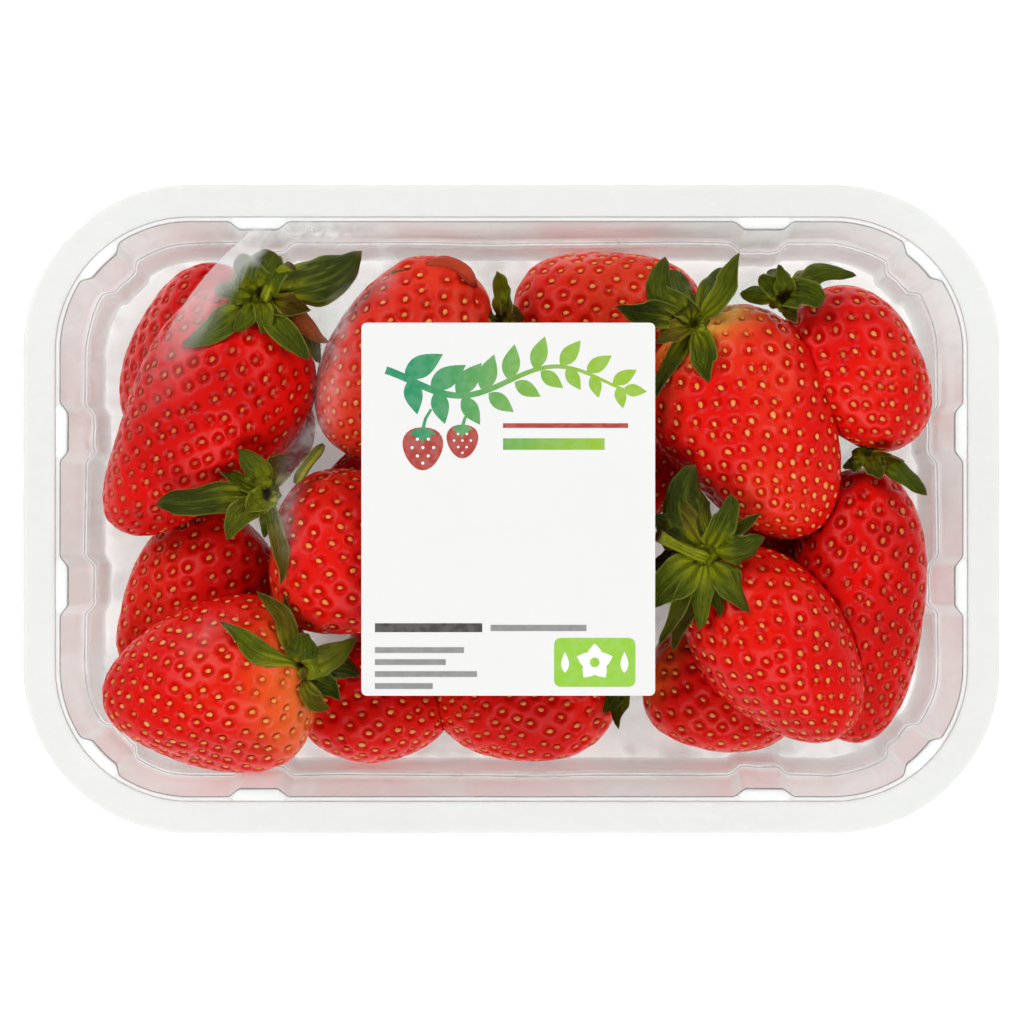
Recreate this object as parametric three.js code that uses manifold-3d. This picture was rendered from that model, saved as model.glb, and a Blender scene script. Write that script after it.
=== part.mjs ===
// A heat-sealed punnet of strawberries: a clear thermoformed tray, the heap of berries in it,
// the film lid sealed to its flange and the paper label on the film.
// Millimetres, +Z up. The origin is the middle of the tray's underside, +X runs along its length.
import * as THREE from "three";
import { mergeVertices } from "three/addons/utils/BufferGeometryUtils.js";
import Module from "manifold-3d";

const wasm = await Module();
wasm.setup();

// Tray outline and section
const trayLength = 187;
const trayWidth = 124;
const trayDepth = 50;
const outerCornerRadius = 31.7;
const sheetThickness = 0.6;
const flangeWidth = 5.8;
const sealStepDrop = 1.1; // the small step down just inside the flange
const sealStepWidth = 1.0;
const shelfHeight = 25; // the shelf half way down the wall
const shelfWidth = 1.1;
const upperDraft = 2.6; // how far the upper wall leans in from the step to the shelf
const lowerDraft = 1.7; // and the lower wall from the shelf to the floor's curve
const floorCurve = 4.5; // radius of the curve from wall to floor
const footWidth = 9; // the flat ring that the tray stands on
const panelRise = 1.0; // the middle of the floor stands this much higher

// De-nesting lugs: flat-topped pilasters that keep stacked empty trays apart
const lugWidth = 9;
const lugRamp = 0.9; // length of the rounded flank at each end of a lug
const lugReach = 1.6; // how far a lug stands in from the wall
const longSideLugX = 48.6;
const shortSideLugY = 14.8;
const cornerLugHalfAngle = THREE.MathUtils.degToRad(10);
const cornerArcStep = THREE.MathUtils.degToRad(12);

// Film lid and label
const filmThickness = 0.2;
const filmTrim = 0.3; // the film is cut this much inside the flange's edge
const labelWidth = 56.4;
const labelHeight = 71.6;
const labelThickness = 0.15;
const labelCornerRadius = 1;
const labelX = -0.6;

// Strawberries: crown is the middle of the stalk end, tip the far end, width the widest diameter.
// taper moves the widest place towards the crown, bend bows the axis sideways, and flat is
// thickness over width. sepals is the number of leaves in the calyx, and reach their length.
const strawberries = [
  { crown: [-53, 46.5, 18], tip: [-74.5, 15.5, 16], width: 24, taper: 0.2, sepals: 0 },
  { crown: [-47.5, 41, 34], tip: [-77.5, -3.5, 31], width: 33, taper: 0.28, bend: -2.5, flat: 0.86, sepals: 5 },
  { crown: [-9.5, 44, 31], tip: [-34, 12, 30], width: 30, taper: 0.1, sepals: 4 },
  { crown: [1.5, 37.5, 21], tip: [37.5, 40, 20], width: 24, taper: 0.1, sepals: 4 },
  { crown: [36.5, 37.5, 33], tip: [59, -4.5, 32], width: 35, taper: 0.28, bend: 1, flat: 0.88, sepals: 5 },
  { crown: [57.5, 40, 30], tip: [79, 12.5, 30], width: 26, taper: 0.15, sepals: 5 },
  { crown: [69, 8, 26], tip: [67, -46, 21], width: 25.5, taper: 0.1, sepals: 4 },
  { crown: [39, -11, 34], tip: [65.5, -43.5, 31], width: 29.5, taper: 0.2, flat: 0.95, sepals: 6 },
  { crown: [27.5, -30, 17], tip: [56, -42, 15], width: 26, taper: 0.15, sepals: 0 },
  { crown: [21, -35.5, 18], tip: [-14, -37, 17], width: 26, taper: 0.1, sepals: 4 },
  { crown: [-42, -38, 16], tip: [-12, -39.5, 16], width: 23, taper: 0.15, sepals: 0 },
  { crown: [-38.5, -32, 32], tip: [-80, -37.5, 28.5], width: 34, taper: 0.28, flat: 0.92, sepals: 5 },
  { crown: [-50.5, -4.5, 16], tip: [-78, -30, 14], width: 27, taper: 0.38, flat: 0.95, sepals: 0 },
  { crown: [-47, -6.5, 32], tip: [-10, -12, 31], width: 34, taper: 0.22, flat: 0.9, sepals: 5 },
  { crown: [13, 30, 31], tip: [-1, -1, 31], width: 28, taper: 0.2, sepals: 0 },
  { crown: [20, -9, 31], tip: [-9, -26, 31], width: 27, taper: 0.2, sepals: 0 },
  { crown: [3, 2, 14.5], tip: [34, 9, 14.5], width: 25, taper: 0.2, sepals: 0 },
  { crown: [-32, -24, 13.5], tip: [-6, -26, 12.5], width: 22, taper: 0.2, sepals: 0 },
  { crown: [18, 25, 12.5], tip: [-9, 20, 12.5], width: 21, taper: 0.2, sepals: 0 },
  { crown: [-12, 7, 12.5], tip: [-38, 2, 12.5], width: 20, taper: 0.2, sepals: 0 },
  { crown: [10, -14, 12.5], tip: [-17, -8, 12.5], width: 20, taper: 0.2, sepals: 0 },
  { crown: [52, 22, 12.5], tip: [46, -5, 12.5], width: 21, taper: 0.2, sepals: 0 },
  { crown: [34, -15, 12.5], tip: [55, -13, 12.5], width: 20, taper: 0.2, sepals: 0 },
  { crown: [-43, 24, 12.5], tip: [-61, 4, 12.5], width: 21, taper: 0.2, sepals: 0 },
];
const upperDetail = { rings: 8, segments: 10 };
const lowerDetail = { rings: 6, segments: 8 };
const sepalWidth = 5.5;
const sepalThickness = 1.2;
const sepalTilt = 0.35; // radians that a sepal's tip is lifted off the shoulder

// The core fills the gaps in the middle of the heap, so that the berries hold together as one body
const coreSize = [118, 64, 18];
const coreHeight = 15;

const part = new THREE.Group();

function material(color, roughness, opacity = 1) {
  const plain = new THREE.MeshStandardMaterial({ color, roughness, metalness: 0 });
  plain.transparent = opacity < 1;
  plain.opacity = opacity;
  return plain;
}

function addMesh(name, geometry, look) {
  const mesh = new THREE.Mesh(geometry, look);
  mesh.name = name;
  part.add(mesh);
  return mesh;
}

// ---- Tray ---------------------------------------------------------------------------------

// How much of a lug's reach stands at each place along it, from one end to the other
const lugProfile = [
  { along: -lugWidth / 2 - lugRamp, share: 0 },
  { along: -lugWidth / 2, share: 0.75 },
  { along: -lugWidth / 2 + lugRamp, share: 1 },
  { along: lugWidth / 2 - lugRamp, share: 1 },
  { along: lugWidth / 2, share: 0.75 },
  { along: lugWidth / 2 + lugRamp, share: 0 },
];

// Stations run anticlockwise round the tray. Each holds a point of the outer outline, the inward
// normal there and the share of the lugs' reach. At a corner they turn about the arc's centre.
function outlineStations() {
  const stations = [];
  const halfX = trayLength / 2;
  const halfY = trayWidth / 2;
  const quarterTurn = Math.PI / 2;
  const sides = [
    { normal: 0, half: halfX, lugs: [-shortSideLugY, shortSideLugY] },
    { normal: 1, half: halfY, lugs: [-longSideLugX, longSideLugX] },
    { normal: 2, half: halfX, lugs: [-shortSideLugY, shortSideLugY] },
    { normal: 3, half: halfY, lugs: [-longSideLugX, longSideLugX] },
  ];
  for (const side of sides) {
    const angle = side.normal * quarterTurn;
    const outward = new THREE.Vector2(Math.cos(angle), Math.sin(angle));
    const forward = new THREE.Vector2(-outward.y, outward.x);
    for (const lug of side.lugs) {
      for (const { along, share } of lugProfile) {
        const point = outward.clone().multiplyScalar(side.half);
        point.addScaledVector(forward, lug + along);
        stations.push({ point, inward: outward.clone().negate(), share });
      }
    }
    stations.push(...cornerStations(angle, halfX, halfY));
  }
  return stations;
}

function cornerStations(startAngle, halfX, halfY) {
  const diagonal = startAngle + Math.PI / 4;
  const centre = new THREE.Vector2(
    Math.sign(Math.cos(diagonal)) * (halfX - outerCornerRadius),
    Math.sign(Math.sin(diagonal)) * (halfY - outerCornerRadius),
  );
  const turns = [0, 1, 2].map((step) => ({ turn: step * cornerArcStep, share: 0 }));
  const rampAngle = cornerLugHalfAngle * 0.25;
  turns.push({ turn: Math.PI / 4 - cornerLugHalfAngle - rampAngle, share: 0 });
  turns.push({ turn: Math.PI / 4 - cornerLugHalfAngle, share: 1 });
  const mirrored = turns.map(({ turn, share }) => ({ turn: Math.PI / 2 - turn, share }));
  turns.push({ turn: Math.PI / 4, share: 1 });
  return [...turns, ...mirrored.reverse()].map(({ turn, share }) => {
    const angle = startAngle + turn;
    const outward = new THREE.Vector2(Math.cos(angle), Math.sin(angle));
    const point = centre.clone().addScaledVector(outward, outerCornerRadius);
    return { point, inward: outward.negate(), share };
  });
}

// The section's upper face, from the flange's edge in to the floor's middle panel.
// lug is the share of the lugs' reach that is added to the inset at that height.
function sectionRows() {
  const stepZ = trayDepth - sealStepDrop;
  const wallTop = flangeWidth + sealStepWidth;
  const shelfOut = wallTop + upperDraft;
  const shelfIn = shelfOut + shelfWidth;
  const curveTop = shelfIn + lowerDraft;
  const curveIn = curveTop + floorCurve;
  const footIn = curveIn + footWidth;
  const floorZ = sheetThickness;
  const curveDrop = floorCurve * (1 - Math.SQRT1_2);
  return [
    { inset: 0, z: trayDepth, lug: 0 },
    { inset: flangeWidth, z: trayDepth, lug: 0 },
    { inset: flangeWidth + 0.2, z: stepZ, lug: 0 },
    { inset: wallTop, z: stepZ - 0.1, lug: 1 },
    { inset: shelfOut, z: shelfHeight, lug: 1.1 },
    { inset: shelfIn, z: shelfHeight - 0.7, lug: 1.1 },
    { inset: curveTop, z: floorZ + floorCurve, lug: 0.6 },
    { inset: curveTop + curveDrop, z: floorZ + curveDrop, lug: 0.3 },
    { inset: curveIn, z: floorZ, lug: 0 },
    { inset: footIn, z: floorZ, lug: 0 },
    { inset: footIn + 1, z: floorZ + panelRise, lug: 0 },
  ];
}

// The same rows moved square to the section by the sheet's thickness, down and outwards
function offsetRows(rows, distance) {
  return rows.map((row, i) => {
    const before = rows[Math.max(i - 1, 0)];
    const after = rows[Math.min(i + 1, rows.length - 1)];
    const here = new THREE.Vector2(row.inset, row.z);
    const incoming = here.clone().sub(new THREE.Vector2(before.inset, before.z));
    const outgoing = new THREE.Vector2(after.inset, after.z).sub(here);
    if (i === 0) incoming.copy(outgoing);
    if (i === rows.length - 1) outgoing.copy(incoming).set(1, 0);
    const normalIn = new THREE.Vector2(incoming.y, -incoming.x).normalize();
    const normalOut = new THREE.Vector2(outgoing.y, -outgoing.x).normalize();
    const mitre = normalIn.clone().add(normalOut).normalize();
    const moved = here.addScaledVector(mitre, distance / mitre.dot(normalOut));
    return { inset: moved.x, z: moved.y, lug: row.lug };
  });
}

function trayGeometry() {
  const stations = outlineStations();
  const upper = sectionRows();
  const lower = offsetRows(upper, sheetThickness);
  const rows = [...upper.reverse(), ...lower];
  const positions = [];
  for (const row of rows) {
    for (const { point, inward, share } of stations) {
      const place = point.clone().addScaledVector(inward, row.inset + share * row.lug * lugReach);
      positions.push(place.x, place.y, row.z);
    }
  }
  const count = stations.length;
  const index = [];
  for (let r = 0; r < rows.length - 1; r++) {
    for (let s = 0; s < count; s++) {
      const next = (s + 1) % count;
      const a = r * count + s;
      const b = r * count + next;
      index.push(a, a + count, b, b, a + count, b + count);
    }
  }
  const firstMiddle = positions.length / 3;
  positions.push(0, 0, rows[0].z, 0, 0, rows[rows.length - 1].z);
  const lastRow = (rows.length - 1) * count;
  for (let s = 0; s < count; s++) {
    const next = (s + 1) % count;
    index.push(firstMiddle, s, next);
    index.push(firstMiddle + 1, lastRow + next, lastRow + s);
  }
  const geometry = new THREE.BufferGeometry();
  geometry.setAttribute("position", new THREE.Float32BufferAttribute(positions, 3));
  geometry.setIndex(index);
  geometry.computeVertexNormals();
  return geometry;
}

// ---- Strawberries ---------------------------------------------------------------------------

// Half the width at a turn from the crown, 0, to the tip, PI, before it is scaled to the berry
function fullness(turn, taper) {
  return Math.sin(turn) ** 0.85 * (1 + taper * Math.cos(turn));
}

function berryGeometry({ crown, tip, width, taper, bend = 0, flat = 1 }, { rings, segments }) {
  const start = new THREE.Vector3(...crown);
  const axis = new THREE.Vector3(...tip).sub(start);
  const length = axis.length();
  axis.normalize();
  const side = axis.clone().cross(new THREE.Vector3(0, 0, 1)).normalize();
  const turns = Array.from({ length: rings + 1 }, (_, i) => (i / rings) * Math.PI);
  const widest = Math.max(...turns.map((turn) => fullness(turn, taper)));
  const profile = turns.map((turn, i) => {
    const atEnd = i === 0 || i === rings;
    const radius = atEnd ? 0 : ((fullness(turn, taper) / widest) * width) / 2;
    return new THREE.Vector2(radius, (length * (1 - Math.cos(turn))) / 2);
  });
  const geometry = new THREE.LatheGeometry(profile, segments);
  const upright = side.clone().cross(axis);
  geometry.scale(1, 1, flat);
  const position = geometry.getAttribute("position");
  for (let i = 0; i < position.count; i++) {
    const along = THREE.MathUtils.clamp(position.getY(i) / length, 0, 1);
    position.setX(i, position.getX(i) + bend * 2 * Math.sqrt(along * (1 - along)));
  }
  geometry.applyMatrix4(new THREE.Matrix4().makeBasis(side, axis, upright));
  geometry.translate(start.x, start.y, start.z);
  return geometry;
}

// A sepal is a lozenge that lies on the berry's shoulder, one end at the stalk
function sepalGeometry({ crown, tip, width, sepals }, number) {
  const reach = width * 0.42;
  const leaf = new THREE.OctahedronGeometry(1);
  leaf.scale(reach / 2, sepalThickness / 2, sepalWidth / 2);
  leaf.rotateZ(-sepalTilt);
  leaf.translate(reach / 2, 0.4, 0);
  leaf.rotateY(((number + 0.5) / sepals) * 2 * Math.PI);
  const start = new THREE.Vector3(...crown);
  const axis = new THREE.Vector3(...tip).sub(start).normalize();
  const side = axis.clone().cross(new THREE.Vector3(0, 0, 1)).normalize();
  leaf.applyMatrix4(new THREE.Matrix4().makeBasis(side, axis, side.clone().cross(axis)));
  leaf.translate(start.x, start.y, start.z);
  return leaf;
}

function coreGeometry() {
  const core = new THREE.SphereGeometry(0.5, 12, 6);
  core.scale(...coreSize);
  core.translate(0, 0, coreHeight);
  return core;
}

// A closed mesh as a manifold solid, with only its positions, merged where they meet
function solidOf(geometry) {
  const bare = new THREE.BufferGeometry();
  bare.setAttribute("position", geometry.getAttribute("position"));
  bare.setIndex(geometry.getIndex());
  const merged = mergeVertices(bare, 1e-3);
  const triVerts = [];
  const corners = merged.getIndex().array;
  for (let i = 0; i < corners.length; i += 3) {
    const [a, b, c] = corners.slice(i, i + 3);
    if (a !== b && b !== c && c !== a) triVerts.push(a, b, c);
  }
  const vertProperties = merged.getAttribute("position").array;
  const mesh = new wasm.Mesh({ numProp: 3, vertProperties, triVerts: new Uint32Array(triVerts) });
  return new wasm.Manifold(mesh);
}

function geometryOf(solid) {
  const mesh = solid.getMesh();
  const geometry = new THREE.BufferGeometry();
  geometry.setAttribute("position", new THREE.BufferAttribute(mesh.vertProperties, 3));
  geometry.setIndex(new THREE.BufferAttribute(mesh.triVerts, 1));
  geometry.computeVertexNormals();
  return geometry;
}

function heapGeometry() {
  let heap = solidOf(coreGeometry());
  for (const berry of strawberries) {
    const detail = berry.width > 24 ? upperDetail : lowerDetail;
    heap = heap.add(solidOf(berryGeometry(berry, detail)));
    for (let number = 0; number < berry.sepals; number++) {
      heap = heap.add(solidOf(sepalGeometry(berry, number)));
    }
  }
  return geometryOf(heap);
}

// ---- Film lid and label ---------------------------------------------------------------------

function roundedRectangle(length, width, radius) {
  const x = length / 2;
  const y = width / 2;
  const shape = new THREE.Shape();
  shape.moveTo(-x + radius, -y);
  shape.lineTo(x - radius, -y);
  shape.absarc(x - radius, -y + radius, radius, -Math.PI / 2, 0);
  shape.lineTo(x, y - radius);
  shape.absarc(x - radius, y - radius, radius, 0, Math.PI / 2);
  shape.lineTo(-x + radius, y);
  shape.absarc(-x + radius, y - radius, radius, Math.PI / 2, Math.PI);
  shape.lineTo(-x, -y + radius);
  shape.absarc(-x + radius, -y + radius, radius, Math.PI, 1.5 * Math.PI);
  return shape;
}

function sheetGeometry(length, width, radius, thickness, curveSegments) {
  const outline = roundedRectangle(length, width, radius);
  return new THREE.ExtrudeGeometry(outline, {
    depth: thickness,
    bevelEnabled: false,
    curveSegments,
  });
}

addMesh("tray", trayGeometry(), material("#e9ecec", 0.15, 0.35));

addMesh("strawberries", heapGeometry(), material("#c3161c", 0.4));

const filmLength = trayLength - 2 * filmTrim;
const filmWidth = trayWidth - 2 * filmTrim;
const filmRadius = outerCornerRadius - filmTrim;
const film = addMesh(
  "film",
  sheetGeometry(filmLength, filmWidth, filmRadius, filmThickness, 7),
  material("#f4f6f6", 0.1, 0.2),
);
film.position.z = trayDepth;

const label = addMesh(
  "label",
  sheetGeometry(labelWidth, labelHeight, labelCornerRadius, labelThickness, 3),
  material("#f6f6f4", 0.6),
);
label.position.set(labelX, 0, trayDepth + filmThickness);

export default part;
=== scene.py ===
import math

import bpy
import numpy as np
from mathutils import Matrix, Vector
from mathutils.bvhtree import BVHTree
from mathutils.geometry import delaunay_2d_cdt


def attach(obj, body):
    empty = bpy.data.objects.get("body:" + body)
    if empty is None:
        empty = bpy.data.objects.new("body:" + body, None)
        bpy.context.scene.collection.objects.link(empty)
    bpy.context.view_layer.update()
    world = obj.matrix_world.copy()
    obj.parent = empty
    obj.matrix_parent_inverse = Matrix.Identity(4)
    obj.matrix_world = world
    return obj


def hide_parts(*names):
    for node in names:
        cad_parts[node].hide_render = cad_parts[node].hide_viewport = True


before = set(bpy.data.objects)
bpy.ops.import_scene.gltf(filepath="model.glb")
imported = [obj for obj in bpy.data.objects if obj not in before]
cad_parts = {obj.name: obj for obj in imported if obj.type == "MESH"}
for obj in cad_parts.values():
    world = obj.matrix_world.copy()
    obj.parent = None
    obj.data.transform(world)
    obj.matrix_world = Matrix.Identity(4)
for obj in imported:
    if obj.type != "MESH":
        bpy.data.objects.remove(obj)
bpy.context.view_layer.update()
mm = 0.001
fullTurn = 2 * math.pi
goldenAngle = math.pi * (3 - math.sqrt(5))
scene = bpy.context.scene

# the camera looks straight down on the film; place in metres, lens and sensor in mm
view = {"place": (0.000115, -0.00054, 1.05), "lens": 183.1, "sensor": 36.0, "nearest": 0.01}


def addCamera():
    data = bpy.data.cameras.new("camera")
    data.lens = view["lens"]
    data.sensor_width = view["sensor"]
    data.clip_start = view["nearest"]
    camera = bpy.data.objects.new("camera", data)
    camera.location = view["place"]
    scene.collection.objects.link(camera)
    scene.camera = camera


addCamera()
print("camera placed")


# helpers for meshes; a part is a dictionary of points in metres, faces, and values on the points

def unit(vectors):
    length = np.linalg.norm(vectors, axis=-1, keepdims=True)
    return vectors / np.maximum(length, 1e-12)


def smoothStep(low, high, value):
    t = np.clip((value - low) / (high - low), 0, 1)
    return t * t * (3 - 2 * t)


def triangulate(places, tolerance):
    found = delaunay_2d_cdt([Vector(place) for place in places], [], [], 0, tolerance)
    return np.array([tuple(place) for place in found[0]]), [tuple(face) for face in found[2]]


def ringFaces(bands, sides, turned=False):
    # quads between closed rings of points that follow one another
    faces = []
    for band in range(bands):
        for k in range(sides):
            a, b = band * sides + k, band * sides + (k + 1) % sides
            faces.append((a, a + sides, b + sides, b) if turned else (a, b, b + sides, a + sides))
    return faces


def joinParts(parts):
    points, faces, values, first = [], [], {}, 0
    for part in parts:
        points.append(part["points"])
        faces.extend([tuple(corner + first for corner in face) for face in part["faces"]])
        for key, value in part["values"].items():
            values.setdefault(key, []).append(np.broadcast_to(value, (len(part["points"]),)))
        first += len(part["points"])
    merged = {key: np.concatenate(value) for key, value in values.items()}
    return {"points": np.concatenate(points), "faces": faces, "values": merged}


def addPiece(name, part, materials, nodes=()):
    mesh = bpy.data.meshes.new(name)
    mesh.from_pydata(part["points"].tolist(), [], part["faces"])
    for key, value in part["values"].items():
        layer = mesh.attributes.new(key, "FLOAT", "POINT")
        layer.data.foreach_set("value", np.ascontiguousarray(value, np.float32))
    for material in materials:
        mesh.materials.append(material)
    if "materialOf" in part:
        mesh.polygons.foreach_set("material_index", part["materialOf"])
    mesh.polygons.foreach_set("use_smooth", [part.get("smooth", True)] * len(mesh.polygons))
    mesh.update()
    piece = bpy.data.objects.new(name, mesh)
    scene.collection.objects.link(piece)
    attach(piece, "root")
    if nodes:
        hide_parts(*nodes)
    print(name, len(mesh.polygons), "faces")


# helpers for materials; a value is a plain one or another node's output

def newMaterial(name):
    material = bpy.data.materials.new(name)
    material.use_nodes = True
    tree = material.node_tree
    tree.nodes.clear()
    output = tree.nodes.new("ShaderNodeOutputMaterial")
    return material, tree, output


def isSocket(value):
    return isinstance(value, bpy.types.NodeSocket)


def addNode(tree, kind, settings=None, **inputs):
    # an input is given by its name, with _ for a space, or by its number, such as i0
    node = tree.nodes.new("ShaderNode" + kind)
    for key, value in (settings or {}).items():
        setattr(node, key, value)
    for key, value in inputs.items():
        numbered = key[0] == "i" and key[1:].isdigit()
        socket = node.inputs[int(key[1:]) if numbered else key.replace("_", " ")]
        if isSocket(value):
            tree.links.new(value, socket)
        else:
            socket.default_value = value
    return node


def principled(tree, output, **inputs):
    node = addNode(tree, "BsdfPrincipled", **inputs)
    tree.links.new(node.outputs[0], output.inputs["Surface"])


def placeGroup(tree, group, **inputs):
    return addNode(tree, "Group", {"node_tree": group}, **inputs).outputs


def attribute(tree, name):
    return addNode(tree, "Attribute", {"attribute_name": name}).outputs["Fac"]


def math2(tree, operation, a, b=0.0, clamp=False):
    return addNode(tree, "Math", {"operation": operation, "use_clamp": clamp}, i0=a, i1=b).outputs[0]


def times(tree, a, b):
    return math2(tree, "MULTIPLY", a, b)


def larger(tree, a, b):
    return math2(tree, "MAXIMUM", a, b)


def mapRange(tree, value, low, high, toLow=0.0, toHigh=1.0):
    settings = {"interpolation_type": "SMOOTHSTEP"}
    return addNode(tree, "MapRange", settings, i0=value, i1=low, i2=high, i3=toLow, i4=toHigh).outputs[0]


def mixColour(tree, share, a, b):
    a, b = [value if isSocket(value) else (*value, 1) for value in (a, b)]
    return addNode(tree, "Mix", {"data_type": "RGBA"}, i0=share, i6=a, i7=b).outputs[2]


def mixShader(tree, share, a, b):
    return addNode(tree, "MixShader", i0=share, i1=a, i2=b).outputs[0]


def objectPlace(tree, stretch=None):
    place = addNode(tree, "TexCoord").outputs["Object"]
    if stretch is None:
        return place
    return addNode(tree, "VectorMath", {"operation": "MULTIPLY"}, i0=place, i1=stretch).outputs[0]


def noise(tree, place, scale, detail):
    return addNode(tree, "TexNoise", Vector=place, Scale=scale, Detail=detail).outputs["Fac"]


def bumped(tree, height, strength, distance):
    return addNode(tree, "Bump", Strength=strength, Distance=distance, Height=height).outputs[0]


# the node groups that the materials share

def newGroup(name, inputs, outputs):
    group = bpy.data.node_groups.new(name, "ShaderNodeTree")
    for label, kind, value in inputs:
        socket = group.interface.new_socket(label, in_out="INPUT", socket_type="NodeSocket" + kind)
        socket.default_value = value
    for label, kind in outputs:
        group.interface.new_socket(label, in_out="OUTPUT", socket_type="NodeSocket" + kind)
    given = group.nodes.new("NodeGroupInput").outputs
    return group, given, group.nodes.new("NodeGroupOutput").inputs


def buildMottle():
    # colour that drifts between two tones in patches, with a finer fleck on top
    inputs = [("Base", "Color", (0.8, 0.8, 0.8, 1)), ("Drift", "Color", (0.6, 0.6, 0.6, 1)),
              ("Patch Scale", "Float", 60.0), ("Fleck Scale", "Float", 900.0), ("Amount", "Float", 0.5)]
    group, given, result = newGroup("mottle", inputs, [("Color", "Color"), ("Mask", "Float")])
    place = objectPlace(group)
    wide = mapRange(group, noise(group, place, given["Patch Scale"], 1.0), 0.35, 0.68)
    fine = mapRange(group, noise(group, place, given["Fleck Scale"], 2.0), 0.4, 0.7, 0.0, 0.35)
    mask = math2(group, "MULTIPLY", math2(group, "ADD", wide, fine, True), given["Amount"], True)
    group.links.new(mixColour(group, mask, given["Base"], given["Drift"]), result["Color"])
    group.links.new(mask, result["Mask"])
    return group


def buildGrain():
    # height of a fine skin: soft waves with small grain over them
    inputs = [("Wave Scale", "Float", 120.0), ("Grain Scale", "Float", 1500.0), ("Grain", "Float", 0.3)]
    group, given, result = newGroup("grain", inputs, [("Height", "Float")])
    place = objectPlace(group)
    wave = noise(group, place, given["Wave Scale"], 0.0)
    fine = times(group, noise(group, place, given["Grain Scale"], 1.0), given["Grain"])
    group.links.new(math2(group, "ADD", wave, fine), result["Height"])
    return group


mottle = buildMottle()
grain = buildGrain()
print("node groups ready")

# The berries, from the top of the heap down. Crown is the middle of the stalk end, tip the far end
# and width the widest diameter, in mm. bend bows the berry sideways, in mm, and flat is its height
# over its width. ripe runs from orange red to deep crimson, gold from red brown to golden seeds.
# pale is the share of light flesh round the crown, paleReach how far it runs down the berry and
# paleSide the angle from the upper side that it leans to. lumps swell the skin: place, reach and
# height in mm.
berries = {
    "leftLong": {"crown": (-47.5, 41, 34), "tip": (-77.5, -3.5, 31), "width": 33, "taper": 0.28,
                 "bend": -2.5, "flat": 0.86, "ripe": 0.7, "gold": 0.1, "pale": 0.25},
    "rightLong": {"crown": (36.5, 37.5, 33), "tip": (59, -4.5, 32), "width": 35, "taper": 0.28,
                  "bend": 1, "flat": 0.88, "ripe": 0.4, "gold": 0.95, "pale": 0.88, "paleReach": 0.2},
    "rightFront": {"crown": (39, -11, 34), "tip": (65.5, -43.5, 31), "width": 29.5,
                   "flat": 0.95, "ripe": 0.55, "gold": 0.7, "pale": 0.2},
    "leftFront": {"crown": (-38.5, -32, 32), "tip": (-80, -37.5, 28.5), "width": 34, "taper": 0.28,
                  "flat": 0.92, "ripe": 0.5, "gold": 0.85, "pale": 0.66, "paleReach": 0.4,
                  "paleSide": -0.35},
    "middleLeft": {"crown": (-47, -6.5, 32), "tip": (-10, -12, 31), "width": 34, "taper": 0.22,
                   "flat": 0.9, "ripe": 0.35, "gold": 0.85},
    "middleBack": {"crown": (-9.5, 44, 31), "tip": (-34, 12, 30), "width": 30, "taper": 0.1,
                   "ripe": 0.2, "gold": 0.9,
                   "lumps": ((-13, 45, 35, 6, 2.8), (-19.5, 46.5, 34, 4.5, 1.3), (-6, 42, 34, 5, 1.8))},
    "underLabelBack": {"crown": (13, 30, 31), "tip": (-1, -1, 31), "width": 28,
                       "ripe": 0.5, "gold": 0.7, "pale": 0.3},
    "underLabelFront": {"crown": (20, -9, 31), "tip": (-9, -26, 31), "width": 27,
                        "ripe": 0.6, "gold": 0.6, "pale": 0.3},
    "rightBack": {"crown": (57.5, 41, 30), "tip": (78.3, 13.2, 30), "width": 26, "taper": 0.15,
                  "ripe": 0.5},
    "rightSide": {"crown": (69.6, 8, 26), "tip": (67.6, -46, 21), "width": 26, "taper": 0.1,
                  "ripe": 0.7, "gold": 0.15, "pale": 0.0},
    "back": {"crown": (0.5, 38.2, 21), "tip": (37.5, 40.6, 20), "width": 24.6, "taper": 0.1,
             "ripe": 0.25, "gold": 1.0},
    "frontMiddle": {"crown": (21, -35.5, 18), "tip": (-15.5, -38, 17), "width": 26, "taper": 0.1,
                    "ripe": 0.5, "gold": 0.6},
    "frontRight": {"crown": (27.5, -30, 17), "tip": (56, -42, 15), "width": 26, "taper": 0.15,
                   "ripe": 0.55, "gold": 0.6, "pale": 0.5},
    "leftBack": {"crown": (-53, 46.5, 18), "tip": (-74.5, 15.5, 16), "width": 24,
                 "ripe": 0.75, "gold": 0.1, "pale": 0.0},
    "frontLeft": {"crown": (-42, -38, 16), "tip": (-12, -39.5, 16), "width": 23, "taper": 0.15,
                  "ripe": 0.5, "gold": 0.7, "pale": 0.3},
    # leftUnder has a low ripe for a lighter red, partly painted light, as it lies deep among the others
    "leftUnder": {"crown": (-50.5, -4.5, 20), "tip": (-77, -30, 17), "width": 25.5, "taper": 0.38,
                  "flat": 0.95, "ripe": 0.5, "gold": 0.55},
    "rightUnder": {"crown": (3, 2, 14.5), "tip": (34, 9, 14.5), "width": 25},
    "middleUnder": {"crown": (-32, -24, 13.5), "tip": (-6, -26, 12.5), "width": 22},
    "lowBack": {"crown": (18, 25, 12.5), "tip": (-9, 20, 12.5), "width": 21},
    "lowLeft": {"crown": (-12, 7, 12.5), "tip": (-38, 2, 12.5), "width": 20},
    "lowMiddle": {"crown": (10, -14, 12.5), "tip": (-17, -8, 12.5), "width": 20},
    "lowRight": {"crown": (55, 20, 12.5), "tip": (54.5, -13, 14), "width": 22},
    "lowFront": {"crown": (34, -15, 12.5), "tip": (55, -13, 12.5), "width": 20},
    "lowCorner": {"crown": (-43, 24, 12.5), "tip": (-61, 4, 12.5), "width": 21},
}
berryDefaults = {"taper": 0.2, "bend": 0, "flat": 1, "ripe": 0.8, "gold": 0.5, "pale": 0.1,
                 "paleReach": 0.22, "paleSide": 0, "lumps": ()}

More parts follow.
